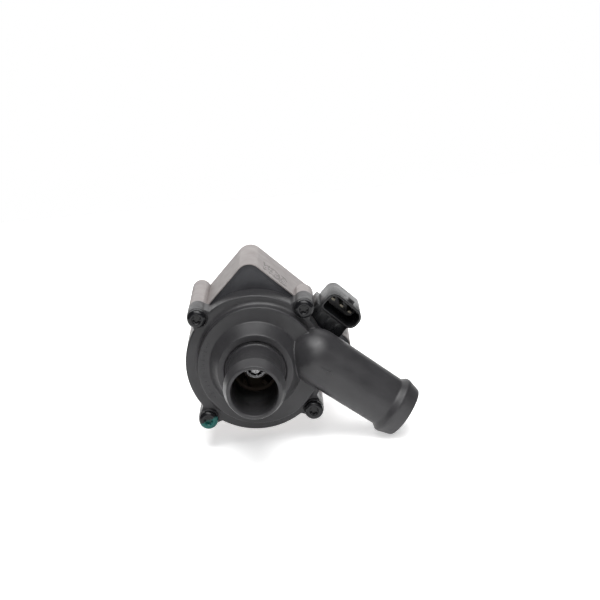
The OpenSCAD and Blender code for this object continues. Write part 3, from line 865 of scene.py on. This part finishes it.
@dataclass
class PumpHead:
    """The moulded volute cover with its two beaded spigots.

    A cone and a volute casing, a little off the shaft's axis, stand on a wide ring.
    """

    spigot: Spigot = field(default_factory=Spigot)
    ring_r: float = 27.1
    ring_h: float = 9.6
    casing_r: float = 23.4
    casing_h: float = 3.9
    casing_shift: float = 1.2
    casing_fillet: float = 1.6
    cone_foot: float = 17.8
    cone_top: float = 14.1
    cone_h: float = 6.1
    groove_r: float = 11.7
    chamber_r: float = 22.0
    wall: float = 2.1
    lug_reach: float = 29.0
    lug_r: float = 3.9
    lug_rise: float = 1.4
    screw_hole: float = 1.85
    outlet_angle: float = 39.6
    outlet_offset: float = 15.85
    outlet_reach: float = 58.5
    outlet_lift: float = 11.3
    outlet_root: float = 10.7
    outlet_start: float = 17.5
    bore_start: float = 11.0
    throat_r: float = 6.4
    throat_end: float = 32.0
    voxel: float = 0.24
    most_faces: int = 185000

    @property
    def ring_z(self) -> float:
        """Height of the wide ring's face."""
        return STACK.seam + self.ring_h

    @property
    def casing_z(self) -> float:
        """Height of the volute casing's face."""
        return self.ring_z + self.casing_h

    @property
    def cone_z(self) -> float:
        """Height of the cone's top."""
        return self.casing_z + self.cone_h

    @property
    def lug_z(self) -> float:
        """Height of the screws' seats."""
        return self.ring_z + self.lug_rise

    @property
    def outlet_pose(self) -> Matrix:
        """Matrix that lays a tube turned about Z along the outlet."""
        turn = Matrix.Rotation(math.radians(-self.outlet_angle - LUG_ANGLE), 4, "Z")
        shift = Matrix.Translation(Vector((0, self.outlet_offset,
                                           STACK.seam + self.outlet_lift)) * MM)
        return turn @ shift @ Matrix.Rotation(math.radians(90), 4, "Y")

    def lug_turns(self) -> list[Matrix]:
        """Quarter turns that carry the first lug to all four."""
        return [Matrix.Rotation(math.radians(90 * i), 4, "Z") for i in range(4)]

    @property
    def casing_pose(self) -> Matrix:
        """Matrix that moves a turned piece from the shaft to the volute casing's axis."""
        turn = Matrix.Rotation(math.radians(-LUG_ANGLE), 4, "Z")
        return turn @ Matrix.Translation((self.casing_shift * MM, 0, 0))

    def shell(self) -> bpy.types.Object:
        """Turns the wide ring, the cone and the inlet spigot as one solid."""
        top = self.cone_z
        tube = self.spigot.tube_r
        foot, brow, cone_edge, groove_edge, groove = 0.25, 0.55, 0.35, 0.3, 1.0
        profile: list[Point] = [
            (0, STACK.seam),
            *arc(self.ring_r - foot, STACK.seam + foot, foot, -90, 0, 3),
            *arc(self.ring_r - brow, self.ring_z - brow, brow, 0, 90, 5),
            (self.cone_foot, self.ring_z),
            (self.cone_foot, self.casing_z),
            *arc(self.cone_top + 0.05, top - cone_edge, cone_edge, 30, 90, 4),
            (self.groove_r + 0.7, top),
            *arc(self.groove_r + 0.4, top - groove_edge, groove_edge, 90, 180, 3),
            (self.groove_r, top - groove),
            (tube + 0.9, top - groove),
            (tube + 0.85, top + 0.1),
            *arc(tube + 2.6, top + 0.9, 2.3, -160, -178, 4),
            (tube + 0.12, top + 3.2),
            (tube, top + 6),
            *self.spigot.outside(STACK.mouth),
            (0, STACK.mouth),
        ]
        return Bench.lathe("pump_head", profile, 160)

    def casing(self) -> bpy.types.Object:
        """Turns the volute casing with the fillet at its foot."""
        edge, fillet = 0.35, self.casing_fillet
        skirt = self.casing_r + fillet
        profile = [
            (0, STACK.seam + 1),
            (skirt, STACK.seam + 1),
            *arc(skirt, self.ring_z + fillet, fillet, 270, 180),
            *arc(self.casing_r - edge, self.casing_z - edge, edge, 0, 90, 4),
            (0, self.casing_z),
        ]
        return Bench.move(Bench.lathe("casing", profile, 160), self.casing_pose)

    def outlet_tube(self) -> bpy.types.Object:
        """Turns the outlet spigot with its domed root and lays it in place."""
        start = self.outlet_start
        profile = [
            *arc(0, start, self.outlet_root, -90, 0, 14),
            *self.spigot.outside(self.outlet_reach),
            (0, self.outlet_reach),
        ]
        return Bench.move(Bench.lathe("outlet_tube", profile, 96), self.outlet_pose)

    def lug(self) -> bpy.types.Object:
        """Makes one screw lug with its web."""
        foot, brow, r = 0.3, 0.5, self.lug_r
        post = Bench.lathe("lug", [
            (0, STACK.seam),
            *arc(r - foot, STACK.seam + foot, foot, -90, 0, 3),
            *arc(r - brow, self.lug_z - brow, brow, 0, 90, 4),
            (0, self.lug_z),
        ], 64)
        Bench.swing(post, self.lug_reach)
        inner, waist = self.ring_r - 3.5, self.ring_r - 0.9
        web = Bench.prism("web", [
            (inner, -r - 2.2), (waist, -r - 1.1), (self.lug_reach, -r + 0.1),
            (self.lug_reach, r - 0.1), (waist, r + 1.1), (inner, r + 2.2),
        ], STACK.seam, self.ring_z - 0.1)
        return Bench.combine(post, web)

    def hollow(self) -> bpy.types.Object:
        """Makes the cutter for the impeller's room and the inlet bore."""
        start, inner = STACK.seam - OVERCUT, self.cone_foot - self.wall
        ring, face, front = (top - self.wall for top in (self.ring_z, self.casing_z, self.cone_z))
        return Bench.lathe("hollow", [
            (0, start), (self.chamber_r, start), (self.chamber_r, ring), (inner, ring), (inner,
                                                                                         face),
            (self.cone_top - self.wall, front), (self.spigot.bore_r, front),
            *self.spigot.inside(STACK.mouth),
        ], 96)

    def casing_hollow(self) -> bpy.types.Object:
        """Makes the cutter for the volute casing's room."""
        low, high = STACK.seam - 0.9, self.casing_z - self.wall
        room = Bench.rod("casing_hollow", self.casing_r - self.wall, low, high, 96)
        return Bench.move(room, self.casing_pose)

    def outlet_hollow(self) -> bpy.types.Object:
        """Makes the cutter for the outlet bore."""
        start, throat = self.bore_start, self.throat_r
        cutter = Bench.lathe("outlet_hollow", [
            (0, start), (throat - 1, start), (throat, start + 1),
            (self.spigot.bore_r, self.throat_end),
            *self.spigot.inside(self.outlet_reach),
        ], 96)
        return Bench.move(cutter, self.outlet_pose)

    def screw_holes(self) -> bpy.types.Object:
        """Makes the cutters for the four screw holes."""
        low, high = STACK.seam - OVERCUT, self.lug_z + OVERCUT
        drill = Bench.swing(Bench.rod("drill", self.screw_hole, low, high, 32), self.lug_reach)
        drills = [Bench.copy(drill, turn) for turn in self.lug_turns()]
        bpy.data.objects.remove(drill, do_unlink=True)
        return Bench.join(drills, "drills")

    def ticks(self) -> list[bpy.types.Object]:
        """Makes an arc of plain raised ticks on the left of the casing's face."""
        half, sink, rise, reach = 0.22, 0.2, 0.16, 20.2
        lengths = (1.5, 0.8, 1.5, 0.5)
        height = (self.casing_z - sink, self.casing_z + rise)
        ticks = []
        for i, turn in enumerate(range(148, 214, 5)):
            end = lengths[i % 4] / 2
            tick = Bench.bevel(Bench.brick("tick", (-end, end), (-half, half), height), 0.1, 2)
            ticks.append(Bench.swing(tick, reach, turn - LUG_ANGLE))
        return ticks

    def arrow(self) -> bpy.types.Object:
        """Makes the raised flow arrow on the outlet's root."""
        shaft, head, length, neck, start = 0.32, 1.1, 5.2, 3.2, 19.5
        outline = [(0, -shaft), (neck, -shaft), (neck, -head), (length, 0),
                   (neck, head), (neck, shaft), (0, shaft)]
        top = STACK.seam + self.outlet_lift + self.outlet_root
        arrow = Bench.bevel(Bench.prism("arrow", outline, top - 0.4, top + 0.14), 0.1, 2)
        turn = Matrix.Rotation(math.radians(-self.outlet_angle - LUG_ANGLE), 4, "Z")
        shift = Matrix.Translation(Vector((start, self.outlet_offset, 0)) * MM)
        return Bench.move(arrow, turn @ shift)

    def build(self) -> bpy.types.Object:
        """Joins the parts of the head, hollows it and melts the joints into moulded fillets.

        Returns:
            The finished head.
        """
        head = self.shell()
        Bench.combine(head, self.casing())
        Bench.combine(head, self.outlet_tube())
        lug = self.lug()
        for turn in self.lug_turns():
            Bench.combine(head, Bench.copy(lug, turn))
        bpy.data.objects.remove(lug, do_unlink=True)
        Bench.cut(head, self.hollow(), self.casing_hollow(), self.outlet_hollow(),
                  self.screw_holes())
        Bench.apply(head, "REMESH", mode="VOXEL", voxel_size=self.voxel * MM,
                    use_smooth_shade=True)
        Bench.apply(head, "SMOOTH", factor=0.5, iterations=7)
        Bench.apply(head, "TRIANGULATE")
        if len(head.data.polygons) > self.most_faces:
            Bench.apply(head, "DECIMATE", ratio=self.most_faces / len(head.data.polygons))
        Bench.join([head, *self.ticks(), self.arrow()], "pump_head")
        Bench.move(head, PUMP_POSE)
        Bench.smooth(head, 50)
        Bench.dress(head, Palette.HEAD)
        return settle(head, "root", "head_plastic", "volute_cover")


@dataclass
class CoverScrews:
    """Pan-head screws with a six-lobed drive."""

    head: PumpHead
    head_r: float = 3.7
    head_h: float = 2.3
    thread_r: float = 1.75
    bite: float = 9.0
    drive_r: float = 1.62
    drive_depth: float = 1.5
    lobe_half: float = 5.5
    valley: float = 0.74

    def drive(self, top: float) -> bpy.types.Object:
        """Makes the cutter for the six-lobed drive.

        Args:
            top: Height of the head's top.

        Returns:
            The cutter.
        """
        outline: list[Point] = []
        for i in range(6):
            turn = math.radians(60 * i)
            for side in range(-3, 4):
                swing = turn + math.radians(side * self.lobe_half)
                reach = self.drive_r * (1 - 0.012 * side * side)
                outline.append((reach * math.cos(swing), reach * math.sin(swing)))
            valley = turn + math.radians(30)
            low = self.drive_r * self.valley
            outline.append((low * math.cos(valley), low * math.sin(valley)))
        return Bench.prism("drive", outline, top - self.drive_depth, top + 1)

    def screw(self) -> bpy.types.Object:
        """Turns one screw about the local Z axis, with a recess in its head."""
        seat, top = self.head.lug_z, self.head.lug_z + self.head_h
        r, thread, drive, tip = self.head_r, self.thread_r, self.drive_r, STACK.seam - self.bite
        sunk = top - 0.28
        screw = Bench.lathe("screw", [
            (0, tip), (thread - 0.4, tip), (thread, tip + 0.8), (thread, seat + 0.02),
            (r - 0.2, seat + 0.02), *arc(r - 0.25, seat + 0.35, 0.25, -60, 10, 3),
            (r - 0.02, seat + 0.8), *arc(r - 1.55, seat + 0.82, 1.5, 4, 74, 8),
            (drive + 0.5, top), (drive + 0.22, top - 0.05), (drive + 0.02, sunk), (0, sunk),
        ], 72)
        return Bench.cut(screw, self.drive(top))

    def build(self) -> bpy.types.Object:
        """Makes the four screws, one of them with a dab of paint.

        Returns:
            The finished screws.
        """
        pattern = Bench.swing(self.screw(), self.head.lug_reach)
        screws = [Bench.copy(pattern, PUMP_POSE @ turn) for turn in self.head.lug_turns()]
        bpy.data.objects.remove(pattern, do_unlink=True)
        for screw in screws:
            Bench.dress(screw, Palette.SCREW)
        low = min(screws, key=lambda s: sum(c[0] + c[2] for c in s.bound_box))
        corners = [Vector(c) for c in low.bound_box]
        middle = (sum(c.x for c in corners) / 8 / MM, sum(c.z for c in corners) / 8 / MM)
        Bench.dress(low, PaintDab(middle=middle))
        piece = Bench.join(screws, "cover_screw_set")
        Bench.smooth(piece, 35)
        return settle(piece, "root", "screw_black", "cover_screws")


@dataclass
class MotorHousing:
    """The aluminium housing: a block with two square corners, a barrel and four screw bosses."""

    block_r: float = 27.17
    flat: float = 28.2
    side: float = 27.5
    corner: float = 5.5
    rim: float = 0.4
    barrel_r: float = 24.0
    relief: float = 0.6
    relief_depth: float = 0.4
    core_r: float = 19.9
    core_stop_r: float = 18.5
    coil_room_r: float = 22.0
    board_room_r: float = 23.5
    boss_r: float = 3.8
    short_boss: float = 10.0
    pocket: float = 2.2
    lug_reach: float = 29.0
    plate_t: float = 3.5
    bracket_reach: float = 31.0
    bracket_r: float = 2.5
    bracket_depth: float = 12.0
    screw_hole: float = 1.8
    screw_depth: float = 9.5
    slack: float = 0.1
    window_low: float = 24.5
    window_start: float = 5.2
    window_w: float = 15.3
    window_depth: float = 18.0
    edge: float = 0.22

    def outline(self, inset: float = 0.0) -> list[Point]:
        """Outline of the block, drawn in by an inset in millimetres."""
        r = self.corner - inset
        x, y = self.flat - self.corner, self.side - self.corner
        steps = 10
        return [
            *arc(x, -y, r, -90, 0, steps),
            *arc(x, y, r, 0, 90, steps),
            (0.0, self.side - inset),
            *arc(0, 0, self.block_r - inset, 96, 264, 48),
            (0.0, -self.side + inset),
        ]

    def round_at(self, r: float, reach: float, turn: float, low: float,
                 high: float) -> bpy.types.Object:
        """Makes a round post at a distance and an angle from the shaft.

        Args:
            r: Radius of the post.
            reach: Distance from the shaft.
            turn: Angle in degrees in the pump's own frame.
            low: Lower end.
            high: Upper end.

        Returns:
            The post.
        """
        return Bench.swing(Bench.rod("post", r, low, high, 56), reach, turn)

    def clear_bosses(self, piece: bpy.types.Object, gap: float = 0.0) -> None:
        """Cuts the four bosses' room out of a piece, with a gap round each in millimetres."""
        low, high = STACK.seam - 9, STACK.seam + 9
        for i in range(4):
            Bench.cut(piece, self.round_at(self.boss_r + gap, self.lug_reach, 90 * i, low, high))

    def window(self, low: float, high: float) -> bpy.types.Object:
        """Makes the cutter for the plug socket's window between two heights."""
        near = self.slack - self.window_start
        far = -self.window_start - self.window_w - self.slack
        width = (self.window_low - self.slack, self.flat + 2)
        return Bench.brick("window", width, (near, far), (low, high))

    def bores(self) -> bpy.types.Object:
        """Makes the cutter for the stator bore, the coil room and the board's bore."""
        start, end = STACK.cover_t - OVERCUT, STACK.seam - 1
        stop, coils, board = STACK.block - 2, STACK.block + 1.2, STACK.block + 7
        return Bench.lathe("bores", [
            (0, start), (self.core_r, start), (self.core_r, stop), (self.core_stop_r, stop),
            (self.core_stop_r, coils), (self.coil_room_r, coils), (self.coil_room_r, board),
            (self.board_room_r, board), (self.board_room_r, end), (0, end),
        ], 96)

    def build(self) -> bpy.types.Object:
        """Mills the housing and breaks its edges.

        Returns:
            The finished housing.
        """
        block, seam = STACK.block, STACK.seam
        body = Bench.prism("motor_shell", self.outline(), block, seam)
        groove, groove_r = block - self.relief, self.barrel_r - self.relief_depth
        Bench.combine(body, Bench.lathe("barrel", [
            (0, STACK.cover_t), (self.barrel_r, STACK.cover_t), (self.barrel_r, groove),
            (groove_r, groove), (groove_r, block + 1), (0, block + 1),
        ], 128))
        for i in range(4):
            low = block if i else seam - self.short_boss
            Bench.combine(body, self.round_at(self.boss_r, self.lug_reach, 90 * i, low, seam))
        room = Bench.prism("room", self.outline(self.rim), seam - self.plate_t, seam + OVERCUT)
        self.clear_bosses(room)
        window_end = seam - self.window_depth
        window = self.window(window_end - self.slack, seam + OVERCUT)
        near, far = -self.window_start, -self.window_start - self.window_w
        pocket = Bench.brick("pocket", (self.flat - self.pocket, self.flat + 2), (near, far),
                             (block - 1, window_end + 1))
        Bench.cut(body, room, self.bores(), window, pocket)
        for turn in (-45, 45):
            Bench.cut(body, self.round_at(self.bracket_r, self.bracket_reach, turn,
                                          block - 1, block + self.bracket_depth))
        for i in range(4):
            Bench.cut(body, self.round_at(self.screw_hole, self.lug_reach, 90 * i,
                                          seam - self.screw_depth, seam + OVERCUT))
        Bench.tidy(body)
        Bench.bevel(body, self.edge, 2)
        Bench.move(body, PUMP_POSE)
        Bench.smooth(body)
        Bench.dress(body, Palette.ALUMINIUM)
        return settle(body, "root", "cast_aluminium", "motor_housing")


@dataclass
class FrontPlate:
    """The black plate in the housing's front, with a stepped border and small mould marks."""

    housing: MotorHousing
    gap: float = 0.1
    border: float = 1.3
    step: float = 0.3
    can_r: float = 13.9
    can_flange_r: float = 20.6
    can_flange_t: float = 1.2
    field_t: float = 1.5
    edge: float = 0.12
    marks: tuple[tuple[float, float, float], ...] = ((33.2, 45, 0.45), (30.6, 43, 0.3),
                                                     (33.0, -45, 0.45))

    def build(self) -> bpy.types.Object:
        """Makes the plate.

        Returns:
            The finished plate.
        """
        seam, body = STACK.seam, self.housing
        inset = body.rim + self.gap
        plate = Bench.prism("front_plate", body.outline(inset), seam - body.plate_t,
                            seam - self.step)
        field_outline = body.outline(inset + self.border)
        Bench.combine(plate, Bench.prism("field", field_outline, seam - self.field_t, seam))
        body.clear_bosses(plate, self.gap)
        low, seat, high = seam - 9, seam - self.can_flange_t, seam + 1
        centre = Bench.lathe("centre", [
            (0, low), (self.can_r, low), (self.can_r, seat), (self.can_flange_r, seat),
            (self.can_flange_r, high), (0, high),
        ], 96)
        Bench.cut(plate, body.window(low, seam + 9), centre)
        Bench.tidy(plate)
        Bench.bevel(plate, self.edge, 2)
        marks = [self.mark(*spot) for spot in self.marks]
        piece = Bench.join([plate, *marks], "front_plate")
        Bench.move(piece, PUMP_POSE)
        Bench.smooth(piece)
        Bench.dress(piece, Palette.PLATE)
        return settle(piece, "root", "plate_plastic", "carrier_plate")

    def mark(self, reach: float, turn: float, r: float) -> bpy.types.Object:
        """Makes a small raised mould mark.

        Args:
            reach: Distance from the shaft.
            turn: Angle in degrees in the pump's own frame.
            r: Radius of the mark.

        Returns:
            The mark.
        """
        low, high = STACK.seam - 0.4, STACK.seam - 0.02
        dimple = high - 0.12
        post = Bench.lathe("mark", [
            (0, low), (r, low), (r, high), (r * 0.7, high), (r * 0.5, dimple), (0, dimple),
        ], 20)
        return Bench.swing(post, reach, turn)


@dataclass
class PlugSocket:
    """The black plug socket: a shroud on a base that comes through the housing's wall."""

    housing: MotorHousing
    height: float = 8.4
    width: float = 16.1
    depth: float = 17.5
    floor: float = 2.6
    wall: float = 0.8
    lift: float = 2.6
    start: float = 6.5
    round_r: float = 3.6
    tight_r: float = 1.4
    latch_at: float = 15.6
    latch_half: float = 1.3
    ribs: tuple[float, ...] = (-8.6, -12.4, -16.2)
    rib_half: float = 0.45
    keys: tuple[float, ...] = (-9.4, -19.6)
    key_half: float = 0.4
    edge: float = 0.2

    def outline(self, inset: float) -> list[Point]:
        """Outline of the shroud: three round corners and a tight one next to the first lug."""
        low = self.housing.flat + self.lift + inset
        high = self.housing.flat + self.lift + self.height - inset
        near, far = -self.start - inset, -self.start - self.width + inset
        r, tight = self.round_r - inset, self.tight_r - inset / 2
        return [
            *arc(low + r, far + r, r, 180, 270, 10),
            *arc(high - r, far + r, r, 270, 360, 10),
            *arc(high - r, near - r, r, 0, 90, 10),
            *arc(low + tight, near - tight, tight, 90, 180, 6),
        ]

    def build(self) -> bpy.types.Object:
        """Makes the socket.

        Returns:
            The finished socket.
        """
        seam, body = STACK.seam, self.housing
        low = body.flat + self.lift
        high = low + self.height
        near, far = -body.window_start, -body.window_start - body.window_w
        socket = Bench.prism("plug_socket", self.outline(0), seam - self.depth, seam)
        floor, inner = seam - self.depth + self.floor, high - self.wall
        Bench.cut(socket, Bench.prism("cavity", self.outline(self.wall), floor, seam + OVERCUT))
        Bench.combine(socket, Bench.brick("base", (body.window_low, low + 0.6), (far, near),
                                          (seam - body.window_depth, seam - 0.8)))
        for y in self.ribs:
            across = (y - self.rib_half, y + self.rib_half)
            Bench.combine(socket, Bench.brick("rib", (body.window_low + 1.2, low - 0.9), across,
                                              (seam - 1.4, seam - 0.35)))
        nib = (-self.latch_at - self.latch_half, self.latch_half - self.latch_at)
        Bench.combine(socket, Bench.brick("nib", (high - 0.2, high + 0.9), nib,
                                          (seam - 7, seam - 4)))
        for y in self.keys:
            across = (y - self.key_half, y + self.key_half)
            Bench.combine(socket, Bench.brick("key", (inner - 0.7, inner + 0.2), across,
                                              (floor - 0.1, seam - 1.2)))
        Bench.tidy(socket)
        Bench.bevel(socket, self.edge, 2)
        Bench.move(socket, PUMP_POSE)
        Bench.smooth(socket)
        Bench.dress(socket, Palette.CONNECTOR)
        return settle(socket, "root", "connector_plastic", "connector_body")


@dataclass
class HiddenWorks:
    """The CAD pieces that keep their shape: each gets its finish."""

    finishes: dict[str, Finish] = field(default_factory=lambda: {
        "cover_seal": Palette.RUBBER, "can_seal": Palette.RUBBER, "rear_seal": Palette.RUBBER,
        "separation_can": Palette.SEPARATOR, "shaft": Palette.STEEL,
        "shaft_retainer": Palette.SPRING,
        "thrust_washer": Palette.STEEL, "impeller": Palette.IMPELLER, "front_bush": Palette.CARBON,
        "rear_bush": Palette.CARBON, "rotor_sleeve": Palette.IMPELLER,
        "rotor_magnet": Palette.MAGNET,
        "rotor_jacket": Palette.STEEL, "stator_core": Palette.LAMINATION,
        "stator_insulators": Palette.NYLON,
        "stator_coils": Palette.COPPER, "phase_leads": Palette.COPPER,
        "circuit_board": Palette.BOARD,
        "capacitors": Palette.CAN, "choke": Palette.EPOXY, "power_transistors": Palette.EPOXY,
        "control_chip": Palette.EPOXY, "thermal_pad": Palette.PAD, "rear_cover": Palette.TURNED,
        "rear_screws": Palette.SCREW, "connector_pins": Palette.TIN})

    def dress(self) -> None:
        """Gives every kept CAD piece its finish."""
        for name, finish in self.finishes.items():
            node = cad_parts[name]
            for slot in node.material_slots:
                slot.material = finish.build()
            LOG.info("%s: kept, %s", name, finish.name)


@dataclass(frozen=True)
class SoftBox:
    """A square lamp that faces the pump.

    Attributes:
        name: Name of the lamp.
        swing: Angle round the pump in degrees, 0 at the inlet's side and 90 at the outlet's.
        lift: Angle above the floor in degrees.
        size: Side of the square in metres.
        watts: Power.
    """

    name: str
    swing: float
    lift: float
    size: float
    watts: float

    def hang(self, aim: Vector, reach: float) -> bpy.types.Object:
        """Hangs the lamp.

        Args:
            aim: What it faces, in metres.
            reach: Its distance from there in metres.

        Returns:
            The lamp.
        """
        side, up = math.radians(self.swing), math.radians(self.lift)
        away = Vector((math.sin(side) * math.cos(up), -math.cos(side) * math.cos(up),
                       math.sin(up)))
        data = bpy.data.lights.new(self.name, "AREA")
        data.shape, data.size, data.energy = "SQUARE", self.size, self.watts
        lamp = bpy.data.objects.new(self.name, data)
        lamp.location = aim + away * reach
        lamp.rotation_euler = (-away).to_track_quat("-Z", "Y").to_euler()
        bpy.context.collection.objects.link(lamp)
        return lamp


@dataclass(frozen=True)
class Studio:
    """A pale floor, four soft square lamps and a long lens.

    Angles are in degrees and lengths in millimetres. The camera looks along +Y, from above the
    shaft, and is turned a little about its own axis.
    """

    elevation: float = 16.0
    swing: float = 0.9
    roll: float = -5.7
    distance: float = 590.0
    focal: float = 90.5
    right: float = 17.1
    up: float = 21.6
    lamps: tuple[SoftBox, ...] = (
        SoftBox("front_box", 0, 25, 0.5, 1.2),
        SoftBox("key_box", 22, 56, 0.8, 8.0),
        SoftBox("top_box", 0, 80, 0.8, 9.0),
        SoftBox("back_box", 180, 25, 1.2, 5.5),
    )
    reach: float = 1.0
    room_light: float = 0.05
    floor_glow: float = 0.5
    floor_size: float = 0.8
    floor_grey: float = 0.94
    aim: tuple[float, float, float] = (10.0, -45.0, 0.0)
    sensor: float = 36.0
    clip: tuple[float, float] = (0.01, 20.0)

    def camera(self) -> bpy.types.Object:
        """Places the camera.

        Returns:
            The camera.
        """
        tilt, side = math.radians(self.elevation), math.radians(self.swing)
        ahead = Vector((-math.sin(side) * math.cos(tilt), math.cos(side) * math.cos(tilt),
                        -math.sin(tilt)))
        level = ahead.cross(Vector((0, 0, 1))).normalized()
        top = level.cross(ahead)
        turn = math.radians(self.roll)
        across = level * math.cos(turn) + top * math.sin(turn)
        above = top * math.cos(turn) - level * math.sin(turn)
        seam = Vector((0, -STACK.seam, 0))
        place = seam + across * self.right + above * self.up - ahead * self.distance
        basis = Matrix((across, above, -ahead)).transposed().to_4x4()
        data = bpy.data.cameras.new("camera")
        data.lens, data.sensor_width = self.focal, self.sensor
        data.clip_start, data.clip_end = self.clip
        camera = bpy.data.objects.new("camera", data)
        camera.matrix_world = Matrix.Translation(place * MM) @ basis
        bpy.context.collection.objects.link(camera)
        bpy.context.scene.camera = camera
        return camera

    def floor(self) -> bpy.types.Object:
        """Lays the pale floor under the pump."""
        low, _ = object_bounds()
        Bench.clear()
        bpy.ops.mesh.primitive_plane_add(size=self.floor_size, location=(0, 0, low[2] - 0.1 * MM))
        floor = bpy.context.object
        floor.name = "floor"
        material = bpy.data.materials.new("floor_paper")
        material.use_nodes = True
        shader = material.node_tree.nodes["Principled BSDF"]
        shader.inputs["Base Color"].default_value = (*[self.floor_grey] * 3, 1)
        shader.inputs["Roughness"].default_value = 0.9
        shader.inputs["Specular IOR Level"].default_value = 0.1
        shader.inputs["Emission Color"].default_value = WHITE
        shader.inputs["Emission Strength"].default_value = self.floor_glow
        floor.data.materials.append(material)
        floor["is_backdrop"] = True
        return floor

    def light(self) -> None:
        """Hangs the lamps and sets a white backdrop that gives little light itself."""
        for lamp in self.lamps:
            lamp.hang(Vector(self.aim) * MM, self.reach)
        world = bpy.data.worlds.new("studio")
        world.use_nodes = True
        tree = world.node_tree
        backdrop = tree.nodes["Background"]
        backdrop.inputs["Color"].default_value = WHITE
        seen = tree.nodes.new("ShaderNodeLightPath")
        strength = tree.nodes.new("ShaderNodeMapRange")
        strength.inputs["To Min"].default_value = self.room_light
        strength.inputs["To Max"].default_value = 1.0
        tree.links.new(seen.outputs["Is Camera Ray"], strength.inputs["Value"])
        tree.links.new(strength.outputs["Result"], backdrop.inputs["Strength"])
        bpy.context.scene.world = world

    def build(self) -> None:
        """Sets up the whole studio."""
        self.floor()
        self.light()
        self.camera()
        bpy.context.scene.view_settings.view_transform = "Standard"


def main() -> None:
    """Builds the pump's pieces in order and sets up the studio."""
    logging.basicConfig(level=logging.INFO, format="%(name)s: %(message)s")
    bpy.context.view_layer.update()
    head = PumpHead()
    head.build()
    CoverScrews(head).build()
    housing = MotorHousing()
    housing.build()
    FrontPlate(housing).build()
    PlugSocket(housing).build()
    HiddenWorks().dress()
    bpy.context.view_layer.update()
    Studio().build()


if __name__ == "__main__":
    main()
